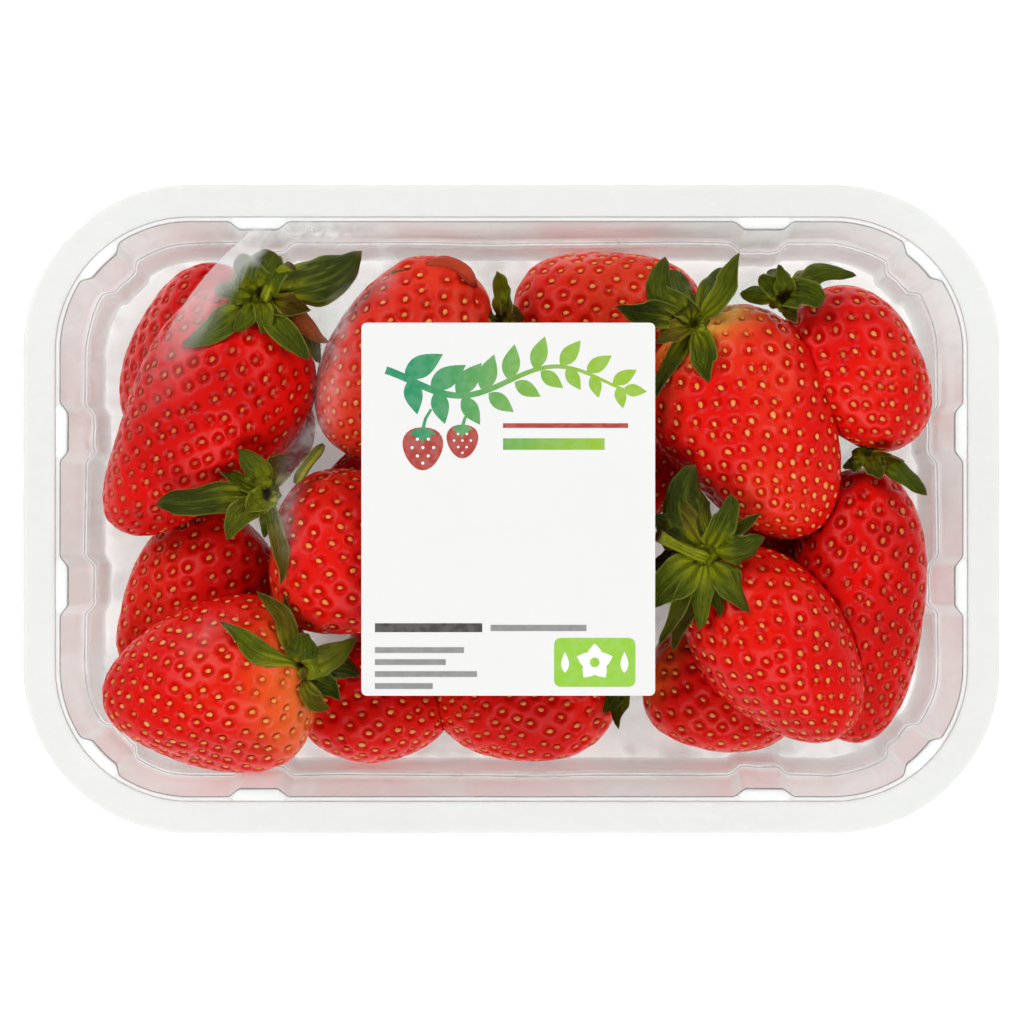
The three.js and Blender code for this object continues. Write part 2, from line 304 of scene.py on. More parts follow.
fleshLook = {
    "roundness": 0.85,  # power of the profile's sine: lower is blunter
    "unevenness": 0.026,  # share of the radius
    "seedSpacing": 4.15,  # mm between neighbouring seeds at the crown
    "seedScatter": 0.1,  # share of the spacing
    "tipCrowding": 1.05,  # how much denser the seeds stand at the tip
    "bareCrown": 0.3,  # angle round the crown that has no seeds
    "pitDepth": 0.55,  # mm
    "pitRadius": 0.375,  # share of the spacing
    "contactGap": 0.12,  # mm between berries that press on each other
    "deepestPress": 9,  # mm that one berry may be dented by another
    "fineBerries": 16,  # the upper berries, which have a finer mesh
    # mesh rings round a seed, as share of the spacing and count, then the fill's spacing and
    # how far the fill keeps from a seed, both as shares of the seed spacing
    "fine": {"rings": ((0.17, 7), (0.28, 9), (0.385, 11)), "fill": 0.21, "keepOff": 0.445},
    "coarse": {"rings": ((0.2, 6),), "fill": 0.34, "keepOff": 0.33},
    # ridges between the seeds and the pits, each from orange red over red to crimson; the pits'
    # darker reds are partly the skin's own deeper red and partly painted shade in the hollows
    "ridge": ((0.80, 0.052, 0.019), (0.77, 0.007, 0.004), (0.60, 0.006, 0.0045)),
    "pitTintAndShade": ((0.70, 0.016, 0.003), (0.64, 0.0022, 0.0008), (0.38, 0.0010, 0.0006)),
    "shoulder": ((0.86, 0.18, 0.03), (0.78, 0.37, 0.05)),  # pale flesh: orange to yellow
    "gloss": (0.17, 0.30), "ior": 1.225,
}

# In mm. sunk is a share of the pit's depth, and levels are rings of points: spread and height
seedLook = {
    "length": 1.4, "width": 0.98, "height": 0.34, "sunk": 0.6, "point": 0.22,
    "levels": ((1.0, -0.35), (0.8, 0.6)), "swing": 0.25, "sizeSpread": 0.09, "goldSpread": 0.22,
    "golden": ((0.84, 0.25, 0.035), (0.90, 0.40, 0.10)), "brown": ((0.48, 0.036, 0.012), (0.68, 0.13, 0.035)),
    "foot": (0.70, 0.09, 0.016), "gloss": (0.3, 0.45), "ior": 1.36,
}

# which berries are joined into one piece
berryGroups = {
    "berriesLeft": ["leftLong", "leftFront", "middleLeft", "leftBack", "leftUnder", "frontLeft"],
    "berriesMiddle": ["middleBack", "underLabelBack", "underLabelFront", "back", "frontMiddle"],
    "berriesRight": ["rightLong", "rightFront", "rightBack", "rightSide", "frontRight"],
    "berriesLow": ["rightUnder", "middleUnder", "lowBack", "lowLeft", "lowMiddle", "lowRight",
                   "lowFront", "lowCorner"],
}


# The smooth form of a berry: turn runs from the crown, 0, to the tip, pi, and spin goes round
# from the upper side, 0
def berryForm(berry, seed):
    crown = np.array(berry["crown"], float) * mm
    axis = np.array(berry["tip"], float) * mm - crown
    length = np.linalg.norm(axis)
    axis = axis / length
    side = unit(np.cross(axis, (0, 0, 1)))
    phases = np.random.default_rng(seed).uniform(0, fullTurn, 6)
    form = {"crown": crown, "axis": axis, "side": side, "upright": np.cross(side, axis), "length": length,
            "half": 1.0, "taper": berry["taper"], "bend": berry["bend"] * mm, "flat": berry["flat"],
            "phases": phases}
    form["half"] = berry["width"] * mm / 2 / formRadius(form, np.linspace(0, math.pi, 200)).max()
    return form


def formRadius(form, turn):
    profile = np.maximum(np.sin(turn), 1e-6) ** fleshLook["roundness"]
    return form["half"] * profile * (1 + form["taper"] * np.cos(turn))


def formPoint(form, turn, spin):
    # uneven waves run round the berry, from one to four of them, and along it
    waves = np.zeros_like(turn)
    for count, phase in zip((1, 2, 3, 4), form["phases"]):
        waves += np.cos(count * spin + phase + 1.4 * turn) * np.sin(turn) * (1.2 if count > 1 else 0.5)
    waves += 0.8 * np.cos(4 * turn + form["phases"][4]) * np.sin(turn)
    radius = formRadius(form, turn) * (1 + fleshLook["unevenness"] * waves)
    along = form["length"] * (1 - np.cos(turn)) / 2
    across = radius * np.sin(spin) + form["bend"] * np.sin(turn)
    up = radius * np.cos(spin) * form["flat"]
    return (form["crown"] + np.outer(along, form["axis"]) + np.outer(across, form["side"])
            + np.outer(up, form["upright"]))


def formFrame(form, turn, spin):
    # the ways down the berry and out of it
    step = 0.01
    safe = np.clip(turn, 3 * step, math.pi - 3 * step)
    down = unit(formPoint(form, safe + step, spin) - formPoint(form, safe - step, spin))
    around = formPoint(form, safe, spin + step) - formPoint(form, safe, spin - step)
    normal = unit(np.cross(down, around))
    middle = form["crown"] + np.outer(form["length"] * (1 - np.cos(safe)) / 2, form["axis"])
    outward = formPoint(form, safe, spin) - middle
    return down, normal * np.sign(np.sum(normal * outward, axis=1, keepdims=True))


# Even places on the surface: turn from a table of equal shares of area, spin by the golden angle.
# The flat map spreads the berry round its tip and keeps angles true.
class SurfaceTable:
    def __init__(self, form, steps=900):
        self.spacing = fleshLook["seedSpacing"] * mm
        self.turns = np.linspace(0.02, math.pi - 0.012, steps)
        self.radius = formRadius(form, self.turns) * (1 + form["flat"]) / 2
        side = np.full(steps, math.pi / 2)
        points = formPoint({**form, "phases": np.zeros(6)}, self.turns, side)
        lengths = np.linalg.norm(np.diff(points, axis=0), axis=1)
        along = (1 - np.cos(self.turns)) / 2
        self.density = 1 + fleshLook["tipCrowding"] * along ** 2
        band = fullTurn * self.radius * self.density
        self.share = np.concatenate([[0], np.cumsum((band[1:] + band[:-1]) / 2 * lengths)])
        pace = 1 / self.radius
        climb = np.cumsum(((pace[1:] + pace[:-1]) / 2 * lengths)[::-1])[::-1]
        self.reach = np.exp(np.concatenate([climb, [0]]))  # distance from the tip in the flat map

    def spiral(self, spacing, shift):
        count = int(self.share[-1] / (0.866 * spacing ** 2))
        k = np.arange(count)
        turn = np.interp((k + 0.5) / count * self.share[-1], self.share, self.turns)
        return turn, (k * goldenAngle + shift) % fullTurn

    def flatten(self, turn, spin):
        reach = np.interp(turn, self.turns, self.reach)
        return np.stack([reach * np.cos(spin), reach * np.sin(spin)], axis=1)

    def unflatten(self, places):
        reach = np.hypot(places[:, 0], places[:, 1])
        turn = np.interp(-np.log(np.maximum(reach, 1e-9)), -np.log(self.reach), self.turns)
        return turn, np.arctan2(places[:, 1], places[:, 0])

    def scaleAt(self, turn):
        return np.interp(turn, self.turns, self.reach / self.radius)

    def spacingAt(self, turn):
        return self.spacing / np.sqrt(np.interp(turn, self.turns, self.density))


def nearestSeed(points, seeds):
    nearest = np.full(len(points), np.inf)
    batch = 64  # seeds at a time, to spare memory
    for start in range(0, len(seeds), batch):
        gaps = points[:, None, :] - seeds[None, start:start + batch, :]
        nearest = np.minimum(nearest, np.einsum("ijk,ijk->ij", gaps, gaps).min(axis=1))
    return np.sqrt(nearest)


def coarseSolid(form, bands=32, sides=40):
    turn, spin = np.meshgrid(np.linspace(0, math.pi, bands + 1),
                             np.linspace(0, fullTurn, sides + 1)[:-1], indexing="ij")
    points = formPoint(form, turn.ravel(), spin.ravel())
    tree = BVHTree.FromPolygons(points.tolist(), ringFaces(bands, sides))
    middle = Vector(form["crown"] + form["axis"] * form["length"] / 2)
    found, normal = tree.find_nearest(middle)[:2]
    outward = 1 if (found - middle).dot(normal) > 0 else -1
    return {"tree": tree, "outward": outward, "low": points.min(axis=0), "high": points.max(axis=0)}


# Points that lie inside one of the solids are moved out to its surface
def settleOutside(points, solids, gap, deepest):
    points = points.copy()
    touched = np.zeros(len(points))
    for solid in solids:
        near = np.all((points > solid["low"] - gap) & (points < solid["high"] + gap), axis=1)
        for index in np.nonzero(near)[0]:
            here = Vector(points[index])
            found, normal = solid["tree"].find_nearest(here)[:2]
            normal = normal * solid["outward"]
            depth = -(here - found).dot(normal)
            if -gap < depth < deepest:
                points[index] = found + normal * gap
                touched[index] = max(touched[index], min(1.0, (depth + gap) / gap))
    return points, touched


def pressed(points, above):
    return settleOutside(points, above, fleshLook["contactGap"] * mm, fleshLook["deepestPress"] * mm)


def lumpHeight(berry, points):
    height = np.zeros(len(points))
    for x, y, z, reach, rise in berry["lumps"]:
        away = np.linalg.norm(points - np.array((x, y, z)) * mm, axis=1) / (reach * mm)
        height += rise * mm * np.exp(-away ** 2)
    return height


def pitProfile(share):
    # share is the distance from the seed over the pit's radius
    bowl = 1 - smoothStep(0.40, 1.0, share)
    lip = np.exp(-((share - 1.15) / 0.22) ** 2)
    return bowl - 0.16 * lip - 0.22 * smoothStep(1.0, 1.7, share)


def seedPlaces(table, rng):
    turn, spin = table.spiral(table.spacing, rng.uniform(0, 6))
    keep = turn > fleshLook["bareCrown"]
    turn, spin = turn[keep], spin[keep]
    gap = table.spacingAt(turn)
    scatter = rng.normal(0, fleshLook["seedScatter"], (len(turn), 2)) * (gap * table.scaleAt(turn))[:, None]
    return table.flatten(turn, spin) + scatter, gap


def skinPlaces(form, table, seedMap, seedGap, seedPoints, detail, rng):
    # rings of mesh points round each seed, then an even fill between the pits
    flat = [seedMap]
    scale = table.scaleAt(table.unflatten(seedMap)[0])
    for number, (share, count) in enumerate(detail["rings"]):
        for k in range(count):
            angle = fullTurn * (k + 0.5 * number) / count
            reach = (share * seedGap * scale)[:, None]
            ring = seedMap + reach * np.array([math.cos(angle), math.sin(angle)])
            away = nearestSeed(formPoint(form, *table.unflatten(ring)), seedPoints)
            flat.append(ring[away > share * seedGap * 0.9])
    turn, spin = table.spiral(table.spacing * detail["fill"], rng.uniform(0, 6))
    away = nearestSeed(formPoint(form, turn, spin), seedPoints)
    between = away > table.spacingAt(turn) * detail["keepOff"]
    flat.append(table.flatten(turn[between], spin[between]))
    places = np.concatenate(flat)
    edge, corners = table.reach[0], 28
    angles = np.arange(corners) * fullTurn / corners
    inner = places[np.hypot(places[:, 0], places[:, 1]) < edge * 0.93]
    return np.concatenate([inner, edge * np.stack([np.cos(angles), np.sin(angles)], axis=1)])


def crownFan(places, edge):
    reach = np.hypot(places[:, 0], places[:, 1])
    rim = [i for i in range(len(places)) if reach[i] > edge * 0.97]
    rim.sort(key=lambda i: math.atan2(places[i, 1], places[i, 0]))
    return [(rim[i], len(places), rim[(i + 1) % len(rim)]) for i in range(len(rim))]


def facingOut(points, triangles):
    corners = points[np.array(triangles)] - points.mean(axis=0)
    volume = np.einsum("ij,ij->i", corners[:, 0], np.cross(corners[:, 1], corners[:, 2])).sum()
    return triangles if volume > 0 else [(a, c, b) for a, b, c in triangles]


def paleShare(berry, turn, spin):
    # light flesh round the crown, on the side that lay in the shade
    along = (1 - np.cos(turn)) / 2
    side = 0.5 + 0.5 * np.cos(spin - berry["paleSide"])
    reach = berry["paleReach"] * (0.35 + 0.95 * side)
    return berry["pale"] * (0.35 + 0.65 * side) * (1 - smoothStep(0.02, reach, along))


def berryPart(form, berry, above, fine, seed):
    rng = np.random.default_rng(seed)
    table = SurfaceTable(form)
    seedMap, seedGap = seedPlaces(table, rng)
    seedTurn, seedSpin = table.unflatten(seedMap)
    seedPoints = formPoint(form, seedTurn, seedSpin)
    detail = fleshLook["fine" if fine else "coarse"]
    places = skinPlaces(form, table, seedMap, seedGap, seedPoints, detail, rng)
    places, triangles = triangulate(places, 1e-6)
    triangles += crownFan(places, table.reach[0])
    turn, spin = table.unflatten(places)
    turn, spin = np.append(turn, 0.0), np.append(spin, 0.0)
    smooth = formPoint(form, turn, spin)
    smooth[-1] = form["crown"]
    gap = table.spacingAt(turn)
    share = nearestSeed(smooth, seedPoints) / (gap * fleshLook["pitRadius"])
    settled, press = pressed(smooth, above)
    depth = fleshLook["pitDepth"] * mm * pitProfile(share) * (1 - 0.6 * press)
    depth *= smoothStep(0.02, 0.3, turn) * (gap / table.spacing)
    normal = formFrame(form, turn, spin)[1]
    points = settled - normal * (depth - lumpHeight(berry, smooth))[:, None]
    # the pit value marks the hollow round each seed, which gets a darker red, partly painted shade
    values = {"pitTintAndShade": 1 - smoothStep(0.7, 1.12, share), "ripe": berry["ripe"],
              "pale": paleShare(berry, turn, spin)}
    flesh = {"points": points, "faces": facingOut(points, triangles), "values": values}
    return flesh, seedPart(form, berry, seedTurn, seedSpin, above, rng, 8 if fine else 6)


def seedPart(form, berry, turn, spin, above, rng, sides):
    down, normal = formFrame(form, turn, spin)
    base = formPoint(form, turn, spin)
    settled, press = pressed(base, above)
    settled = settled + normal * lumpHeight(berry, base)[:, None]
    keep = press < 0.5
    base, down, normal = settled[keep], down[keep], normal[keep]
    count = len(base)
    around = unit(np.cross(normal, down))
    swing = rng.normal(0, seedLook["swing"], count)[:, None]
    length = down * np.cos(swing) + around * np.sin(swing)
    width = around * np.cos(swing) - down * np.sin(swing)
    size = rng.normal(1, seedLook["sizeSpread"], count)[:, None]
    base = base - normal * fleshLook["pitDepth"] * mm * seedLook["sunk"]
    points = []
    for spread, lift in seedLook["levels"]:
        for k in range(sides):
            angle = fullTurn * k / sides
            narrow = 1 - seedLook["point"] * math.cos(angle)
            u = math.cos(angle) * seedLook["length"] / 2 * mm * spread
            v = math.sin(angle) * seedLook["width"] / 2 * mm * spread * narrow
            points.append(base + (length * u + width * v) * size + normal * seedLook["height"] * mm * lift)
    points.append(base + normal * seedLook["height"] * mm)
    top = len(points) - 1
    template = []
    for k in range(sides):
        after = (k + 1) % sides
        template += [(k, after + sides, after), (k, k + sides, after + sides)]
    template += [(sides + k, top, sides + (k + 1) % sides) for k in range(sides)]
    template += [(0, k, k + 1) for k in range(1, sides - 1)]
    template = np.array(template)[:, ::-1]
    faces = (template[None] + np.arange(count)[:, None, None] * (top + 1)).reshape(-1, 3)
    tone = np.repeat(rng.uniform(0, 1, count), top + 1)
    height = np.tile(np.repeat([0, 0.7], sides).tolist() + [1.0], count)
    gold = np.clip(berry["gold"] + (tone - 0.5) * seedLook["goldSpread"], 0, 1)
    return {"points": np.stack(points, axis=1).reshape(-1, 3), "faces": faces,
            "values": {"gold": gold, "tone": tone, "height": height}}


def threeTones(tree, young, old, tones):
    return mixColour(tree, old, mixColour(tree, young, tones[0], tones[1]), tones[2])


def fleshMaterial():
    material, tree, output = newMaterial("berryFlesh")
    patches = placeGroup(tree, mottle, Base=(0, 0, 0, 1), Drift=(1, 1, 1, 1),
                         Patch_Scale=55.0, Fleck_Scale=700.0, Amount=0.55)
    shift = times(tree, math2(tree, "SUBTRACT", patches["Mask"], 0.28), 0.5)
    ripeness = math2(tree, "ADD", attribute(tree, "ripe"), shift, True)
    young, old = mapRange(tree, ripeness, 0.1, 0.55), mapRange(tree, ripeness, 0.5, 1.0)
    # pits take a darker red: partly the skin's own deeper red, partly painted shade in the hollows
    pitTintAndShade = mapRange(tree, attribute(tree, "pitTintAndShade"), 0.0, 0.8, 0.12, 1.0)
    red = mixColour(tree, pitTintAndShade, threeTones(tree, young, old, fleshLook["ridge"]),
                    threeTones(tree, young, old, fleshLook["pitTintAndShade"]))
    uneven = math2(tree, "ADD", attribute(tree, "pale"), times(tree, patches["Mask"], 0.12))
    pale = mapRange(tree, uneven, 0.12, 0.95)
    shoulder = mixColour(tree, mapRange(tree, pale, 0.6, 1.0), *fleshLook["shoulder"])
    skin = placeGroup(tree, grain, Wave_Scale=260.0, Grain_Scale=2600.0, Grain=0.45)
    principled(tree, output, Base_Color=mixColour(tree, pale, red, shoulder), IOR=fleshLook["ior"],
               Roughness=mapRange(tree, patches["Mask"], 0.0, 0.6, *fleshLook["gloss"]),
               Normal=bumped(tree, skin["Height"], 0.4, 0.00016))
    return material


def seedMaterial():
    material, tree, output = newMaterial("berrySeed")
    tone = attribute(tree, "tone")
    golden = mixColour(tree, tone, *seedLook["golden"])
    brown = mixColour(tree, tone, *seedLook["brown"])
    body = mixColour(tree, attribute(tree, "gold"), brown, golden)
    edge = mapRange(tree, attribute(tree, "height"), 0.1, 0.75)
    skin = placeGroup(tree, grain, Wave_Scale=900.0, Grain_Scale=5000.0, Grain=0.4)
    principled(tree, output, Base_Color=mixColour(tree, edge, seedLook["foot"], body), IOR=seedLook["ior"],
               Roughness=mapRange(tree, tone, 0.0, 1.0, *seedLook["gloss"]),
               Normal=bumped(tree, skin["Height"], 0.3, 0.00008))
    return material


def buildBerries():
    flesh, seeds, solids = {}, [], {}
    for number, (name, given) in enumerate(berries.items()):
        berry = {**berryDefaults, **given}
        form = berryForm(berry, number + 11)
        fine = number < fleshLook["fineBerries"]
        flesh[name], kernels = berryPart(form, berry, list(solids.values()), fine, number + 101)
        seeds.append(kernels)
        solids[name] = coarseSolid(form)
    skin = fleshMaterial()
    for group, names in berryGroups.items():
        nodes = ["strawberries"] if group == "berriesMiddle" else []
        addPiece(group, joinParts([flesh[name] for name in names]), [skin], nodes)
    addPiece("seeds", joinParts(seeds), [seedMaterial()])
    return list(solids.values())


berrySolids = buildBerries()
print("strawberries built")

# The green leaves at the crowns. hub is where the leaves meet, in mm, and facing the way it looks.
# A leaf is the place of its tip, then its width, how high it arches, how far it bows sideways,
# shade from dark to light green, and if given, how red brown it is and how blunt. The shade is
# read off how dark each leaf looks, so it holds painted light and shade besides the leaf's own green.
calyxes = {
    "leftLong": {"hub": (-48.4, 41.2, 41.5), "facing": (0.3, 0.4, 1), "leaves": (
        (-63.7, 32.0, 46.5, 6.0, 1.2, -1.0, 0.6, 0.0, 0.7),
        (-57.5, 42.6, 46, 5, 1.5, 0, 0.55, 0.0, 0.5),
        (-52.8, 48.9, 46.5, 7.0, 2, 0.5, 0.45, 0.0, 0.5),
        (-45.4, 49.4, 46.5, 8.0, 2.2, -0.5, 0.4, 0.0, 0.45),
        (-28.6, 49.3, 47.5, 9.5, 1.0, 1.6, 0.12, 0.0, 0.75),
        (-53.1, 33.9, 46.5, 4.2, 1.2, 0, 0.75),
        (-47.8, 33.7, 47, 4.4, 1.2, 0, 0.7),
        (-39.0, 28.8, 45, 5.2, 1.5, 0.5, 0.5),
        (-35.1, 32.4, 43, 4.4, 1, 0, 0.2, 0.5),
        (-36.8, 28.6, 40, 4.2, 1, -1.5, 0.2),
        (-38.6, 38.5, 43, 5.0, 1, 1.0, 0.1, 0.1),
        (-51.5, 47.6, 30, 6.0, 1.5, 0, 0.3, 0.0, 0.6),
        (-44.5, 47.8, 28, 6.0, 1.5, 0, 0.35, 0.0, 0.6),
        (-38.0, 46.6, 34, 5.0, 1, 0, 0.25),
    )},
    "middleLeft": {"hub": (-47.0, 2.6, 41.5), "facing": (-0.7, 0.3, 1), "leaves": (
        (-68.5, 0.4, 45, 6.6, 2.2, 0.8, 0.1, 0.0, 0.5),
        (-53.0, 11.6, 47, 5.6, 1, 1.2, 0.6),
        (-57.2, 8.2, 41, 3.5, 1, -0.5, 0.3, 0.0, 0.5),
        (-55.0, -5.8, 45.5, 5.2, 1.8, 1, 0.7),
        (-51.0, -0.5, 46.5, 5.0, 2.0, 0, 0.85, 0.0, 0.5),
        (-47.6, -5.6, 43, 3.0, 1, 0, 0.75),
        (-44.9, -14.8, 42.5, 3.6, 1, -1.0, 0.5, 0.12),
        (-43.5, 10.2, 42, 5.5, 1, -1, 0.05, 0.1),
        (-48.6, 7.8, 46.5, 3.8, 1, 0, 0.9),
    )},
    "leftFront": {"hub": (-41.8, -31.2, 39.3), "facing": (0.6, 0.2, 1), "leaves": (
        (-56.4, -21.8, 45.5, 4.4, 1.2, -0.6, 0.72),
        (-49.0, -15.6, 41, 4.2, 1.5, 2, 0.3, 0.1),
        (-43.2, -15.8, 40, 3.6, 1, -1, 0.2, 0.1),
        (-40.6, -23.8, 44, 6.2, 2.0, 0.5, 0.3, 0.0, 0.42),
        (-29.9, -24.6, 44, 6.0, 1.2, 1.2, 0.65),
        (-29.2, -32.3, 39, 6, 0.5, -1, 0.05),
        (-33.0, -37.0, 38, 5, 0.5, -1, 0.15),
        (-35.4, -38.8, 38, 3.6, 1, 1, 0.5, 0.1),
        (-35.0, -29.0, 43, 4, 1.0, 0.5, 0.8),
    )},
    "rightFront": {"hub": (37.7, -8.7, 42.0), "facing": (-0.2, 0.2, 1), "leaves": (
        (35.4, 8.6, 45, 9.0, 1, -2.6, 0.12, 0.0, 0.6),
        (42.0, 3.0, 47.5, 6.0, 2, 0.6, 0.5, 0.0, 0.5),
        (29.9, 5.2, 45, 5.6, 1, -0.8, 0.3),
        (48.3, -1.2, 46, 3.0, 1.2, -0.8, 0.3),
        (48.9, -5.4, 47, 7.6, 2.8, 1.6, 0.3, 0.0, 0.5),
        (45.6, -20.2, 46.5, 6.4, 1.8, -0.8, 0.5),
        (40.0, -21.0, 45, 4.0, 1.5, 0, 0.35),
        (36.2, -23.4, 46, 5.2, 1.4, 0.5, 0.65),
        (29.0, -26.6, 44, 3.2, 1, 0.8, 0.45),
        (27.4, -19.6, 43.5, 7.6, 1.5, 1.2, 0.4),
        (27.2, -0.5, 43, 7, 1, -1, 0.2),
        (26.9, -10.8, 41, 7, 1, 0, 0.12),
        (31.2, -27.6, 40, 4, 1, 0, 0.12),
    )},
    "rightLong": {"hub": (35.6, 35.6, 41.0), "facing": (-0.4, 0.3, 1), "leaves": (
        (44.2, 49.2, 47.5, 4.8, 0.8, 1.0, 0.62),
        (29.2, 48.4, 46.5, 5.6, 1.5, -3.4, 0.35, 0.0, 0.55),
        (26.8, 43.4, 46.5, 4.6, 0.8, 0.8, 0.5),
        (20.0, 38.6, 47, 5.4, 1, 0.6, 0.08),
        (27.5, 32.4, 46.5, 4.4, 0.8, 0, 0.5),
        (37.8, 24.2, 47.5, 5.4, 1.2, -0.8, 0.45),
        (28.4, 21.3, 42, 3.6, 0.8, 1, 0.35),
        (31.0, 40.5, 45, 4.5, 1, 1, 0.1),
        (43.0, 47.6, 30, 6.0, 1.5, 0, 0.3, 0.0, 0.6),
        (30.6, 46.8, 28, 6.0, 1.5, 0, 0.35, 0.0, 0.6),
        (37.0, 43.0, 24, 5.0, 1.5, 0, 0.25),
    )},
    "rightBack": {"hub": (52.6, 41.2, 38), "facing": (-0.5, 0.4, 1), "leaves": (
        (44.3, 41.6, 41, 4.0, 1, 0, 0.35, 0.0, 0.5),
        (48.0, 45.2, 44, 4.4, 1.6, 0, 0.3, 0.0, 0.5),
        (51.2, 47.2, 46, 4.0, 2, 0.8, 0.5),
        (60.0, 39.2, 46, 6.6, 2.2, -0.8, 0.4, 0.0, 0.42),
        (66.6, 45.6, 44.5, 3.8, 1.4, -1.8, 0.4, 0.0, 0.6),
        (54.8, 36.0, 43, 3.6, 0.8, 0, 0.3, 0.1),
        (51.5, 47.0, 28, 5.0, 1.5, 0, 0.3),
        (60.5, 46.4, 27, 5.0, 1.5, 0, 0.35),
    )},
    "rightSide": {"hub": (69.6, 10.2, 31), "facing": (0, 0.8, 0.8), "leaves": (
        (64.7, 8.4, 33, 4, 0.5, 0, 0.1),
        (76.6, 9.4, 37, 3.6, 1.5, -0.5, 0.25),
        (80.6, 2.4, 36, 4.2, 1.8, -1.2, 0.3),
        (71.7, 5.7, 38, 4, 1, 0, 0.2),
    )},
    "back": {"hub": (-1.6, 36.2, 31), "facing": (-0.8, 0.3, 0.8), "leaves": (
        (-2.9, 46.0, 37, 4.2, 0.6, 0.3, 1.0, 0.0, 0.3),
        (-0.2, 42.2, 35, 2.6, 1, 0, 0.35, 0.05),
        (-6.9, 37.8, 33, 4.5, 1, 0, 0.0, 0.1),
        (2.6, 37.0, 34, 5, 1, -1, 0.0, 0.1),
        (-2.6, 33.5, 32, 5, 1, 0, 0.05),
    )},
    "frontMiddle": {"hub": (22.6, -33.5, 22), "facing": (0.9, 0, 0.5), "leaves": (
        (20.8, -43.0, 30, 3.6, 1, 0.5, 0.2),
        (18.0, -40.0, 31, 4, 1, 0, 0.1),
        (20.4, -38.0, 28, 4, 1, 0, 0.1),
    )},
}

# Stalks, and a fold of flesh with a bit beside it on the lumpy berry: from and to in mm, thickness,
# shade, how red brown, how bent and how far the ends close
stalks = {
    "rightFront": ((37.8, -9.4, 42.8), (28.2, -5.0, 48.0), 2.2, 0.9, 0.0, 0.03, 0),
    "middleLeft": ((-42, 5, 41), (-36.4, 12.6, 40.6), 2.3, 0.1, 0.05, 0.03, 0.7),
    "leftLong": ((-47.6, 40.6, 44.0), (-42.4, 46.9, 47.6), 2.1, 0.95, 0.0, 0.12, 0),
    "leftFront": ((-41.6, -31.4, 39.8), (-39.8, -31.8, 42.6), 2.0, 0.85, 0.0, 0.0, 0),
    "fold": ((-17.0, 47.6, 38.0), (-6.6, 43.2, 38.2), 3.4, 0.5, 1.0, 0.18, 0.9),
    "foldBit": ((-23.4, 45.8, 37.4), (-20.4, 46.2, 38.0), 1.2, 0.1, 0.3, 0.0, 0.8),
}

# ring is how far from the hub's middle a leaf starts, highest the limit below the film and
# clearance the gap to the berries, in mm; pairs are the ends of a random range
leafLook = {
    "thickness": 0.32, "rows": 20, "columns": 10, "ring": 1.9, "highest": 49.4, "clearance": 0.3,
    "deepest": 8, "fold": 0.12, "folds": (-0.6, 2.4), "cup": 0.42, "cups": (0.5, 1.5), "ripple": 0.12,
    "ripples": 2.1, "widest": (0.66, 0.95), "blunt": (0.6, 0.95), "tipLift": (-2.0, 2.6), "rise": 1.2,
    "meander": 0.035, "roll": 0.5, "shadeSpread": 0.06, "blushSpread": 0.05,
}
leafColours = {
    "dark": (0.030, 0.040, 0.0010), "middle": (0.082, 0.108, 0.0024), "light": (0.24, 0.275, 0.008),
    "drift": (0.012, 0.022, 0.0006), "streak": (0.016, 0.024, 0.0006), "vein": (0.20, 0.255, 0.010),
    "foot": (0.38, 0.40, 0.012), "rim": (0.24, 0.28, 0.035), "tip": (0.20, 0.11, 0.025),
    "blush": (0.56, 0.055, 0.020), "under": (0.17, 0.21, 0.035), "cut": (0.15, 0.10, 0.014),
}
stalkLook = {"bands": 9, "sides": 12, "waist": 0.18, "knots": 0.05, "flutes": 0.05, "hollow": 0.12}
# profile: share of the radius, and height over half the radius
hubLook = {
    "radius": 2.9, "sides": 20, "shade": 0.75, "scallop": 0.16, "profile": (
        (0.0, 0.5), (0.22, 0.5), (0.34, 0.75), (0.5, 1.05), (0.66, 1.15), (0.85, 0.7), (1.0, 0.0),
        (0.0, -0.6)),
}


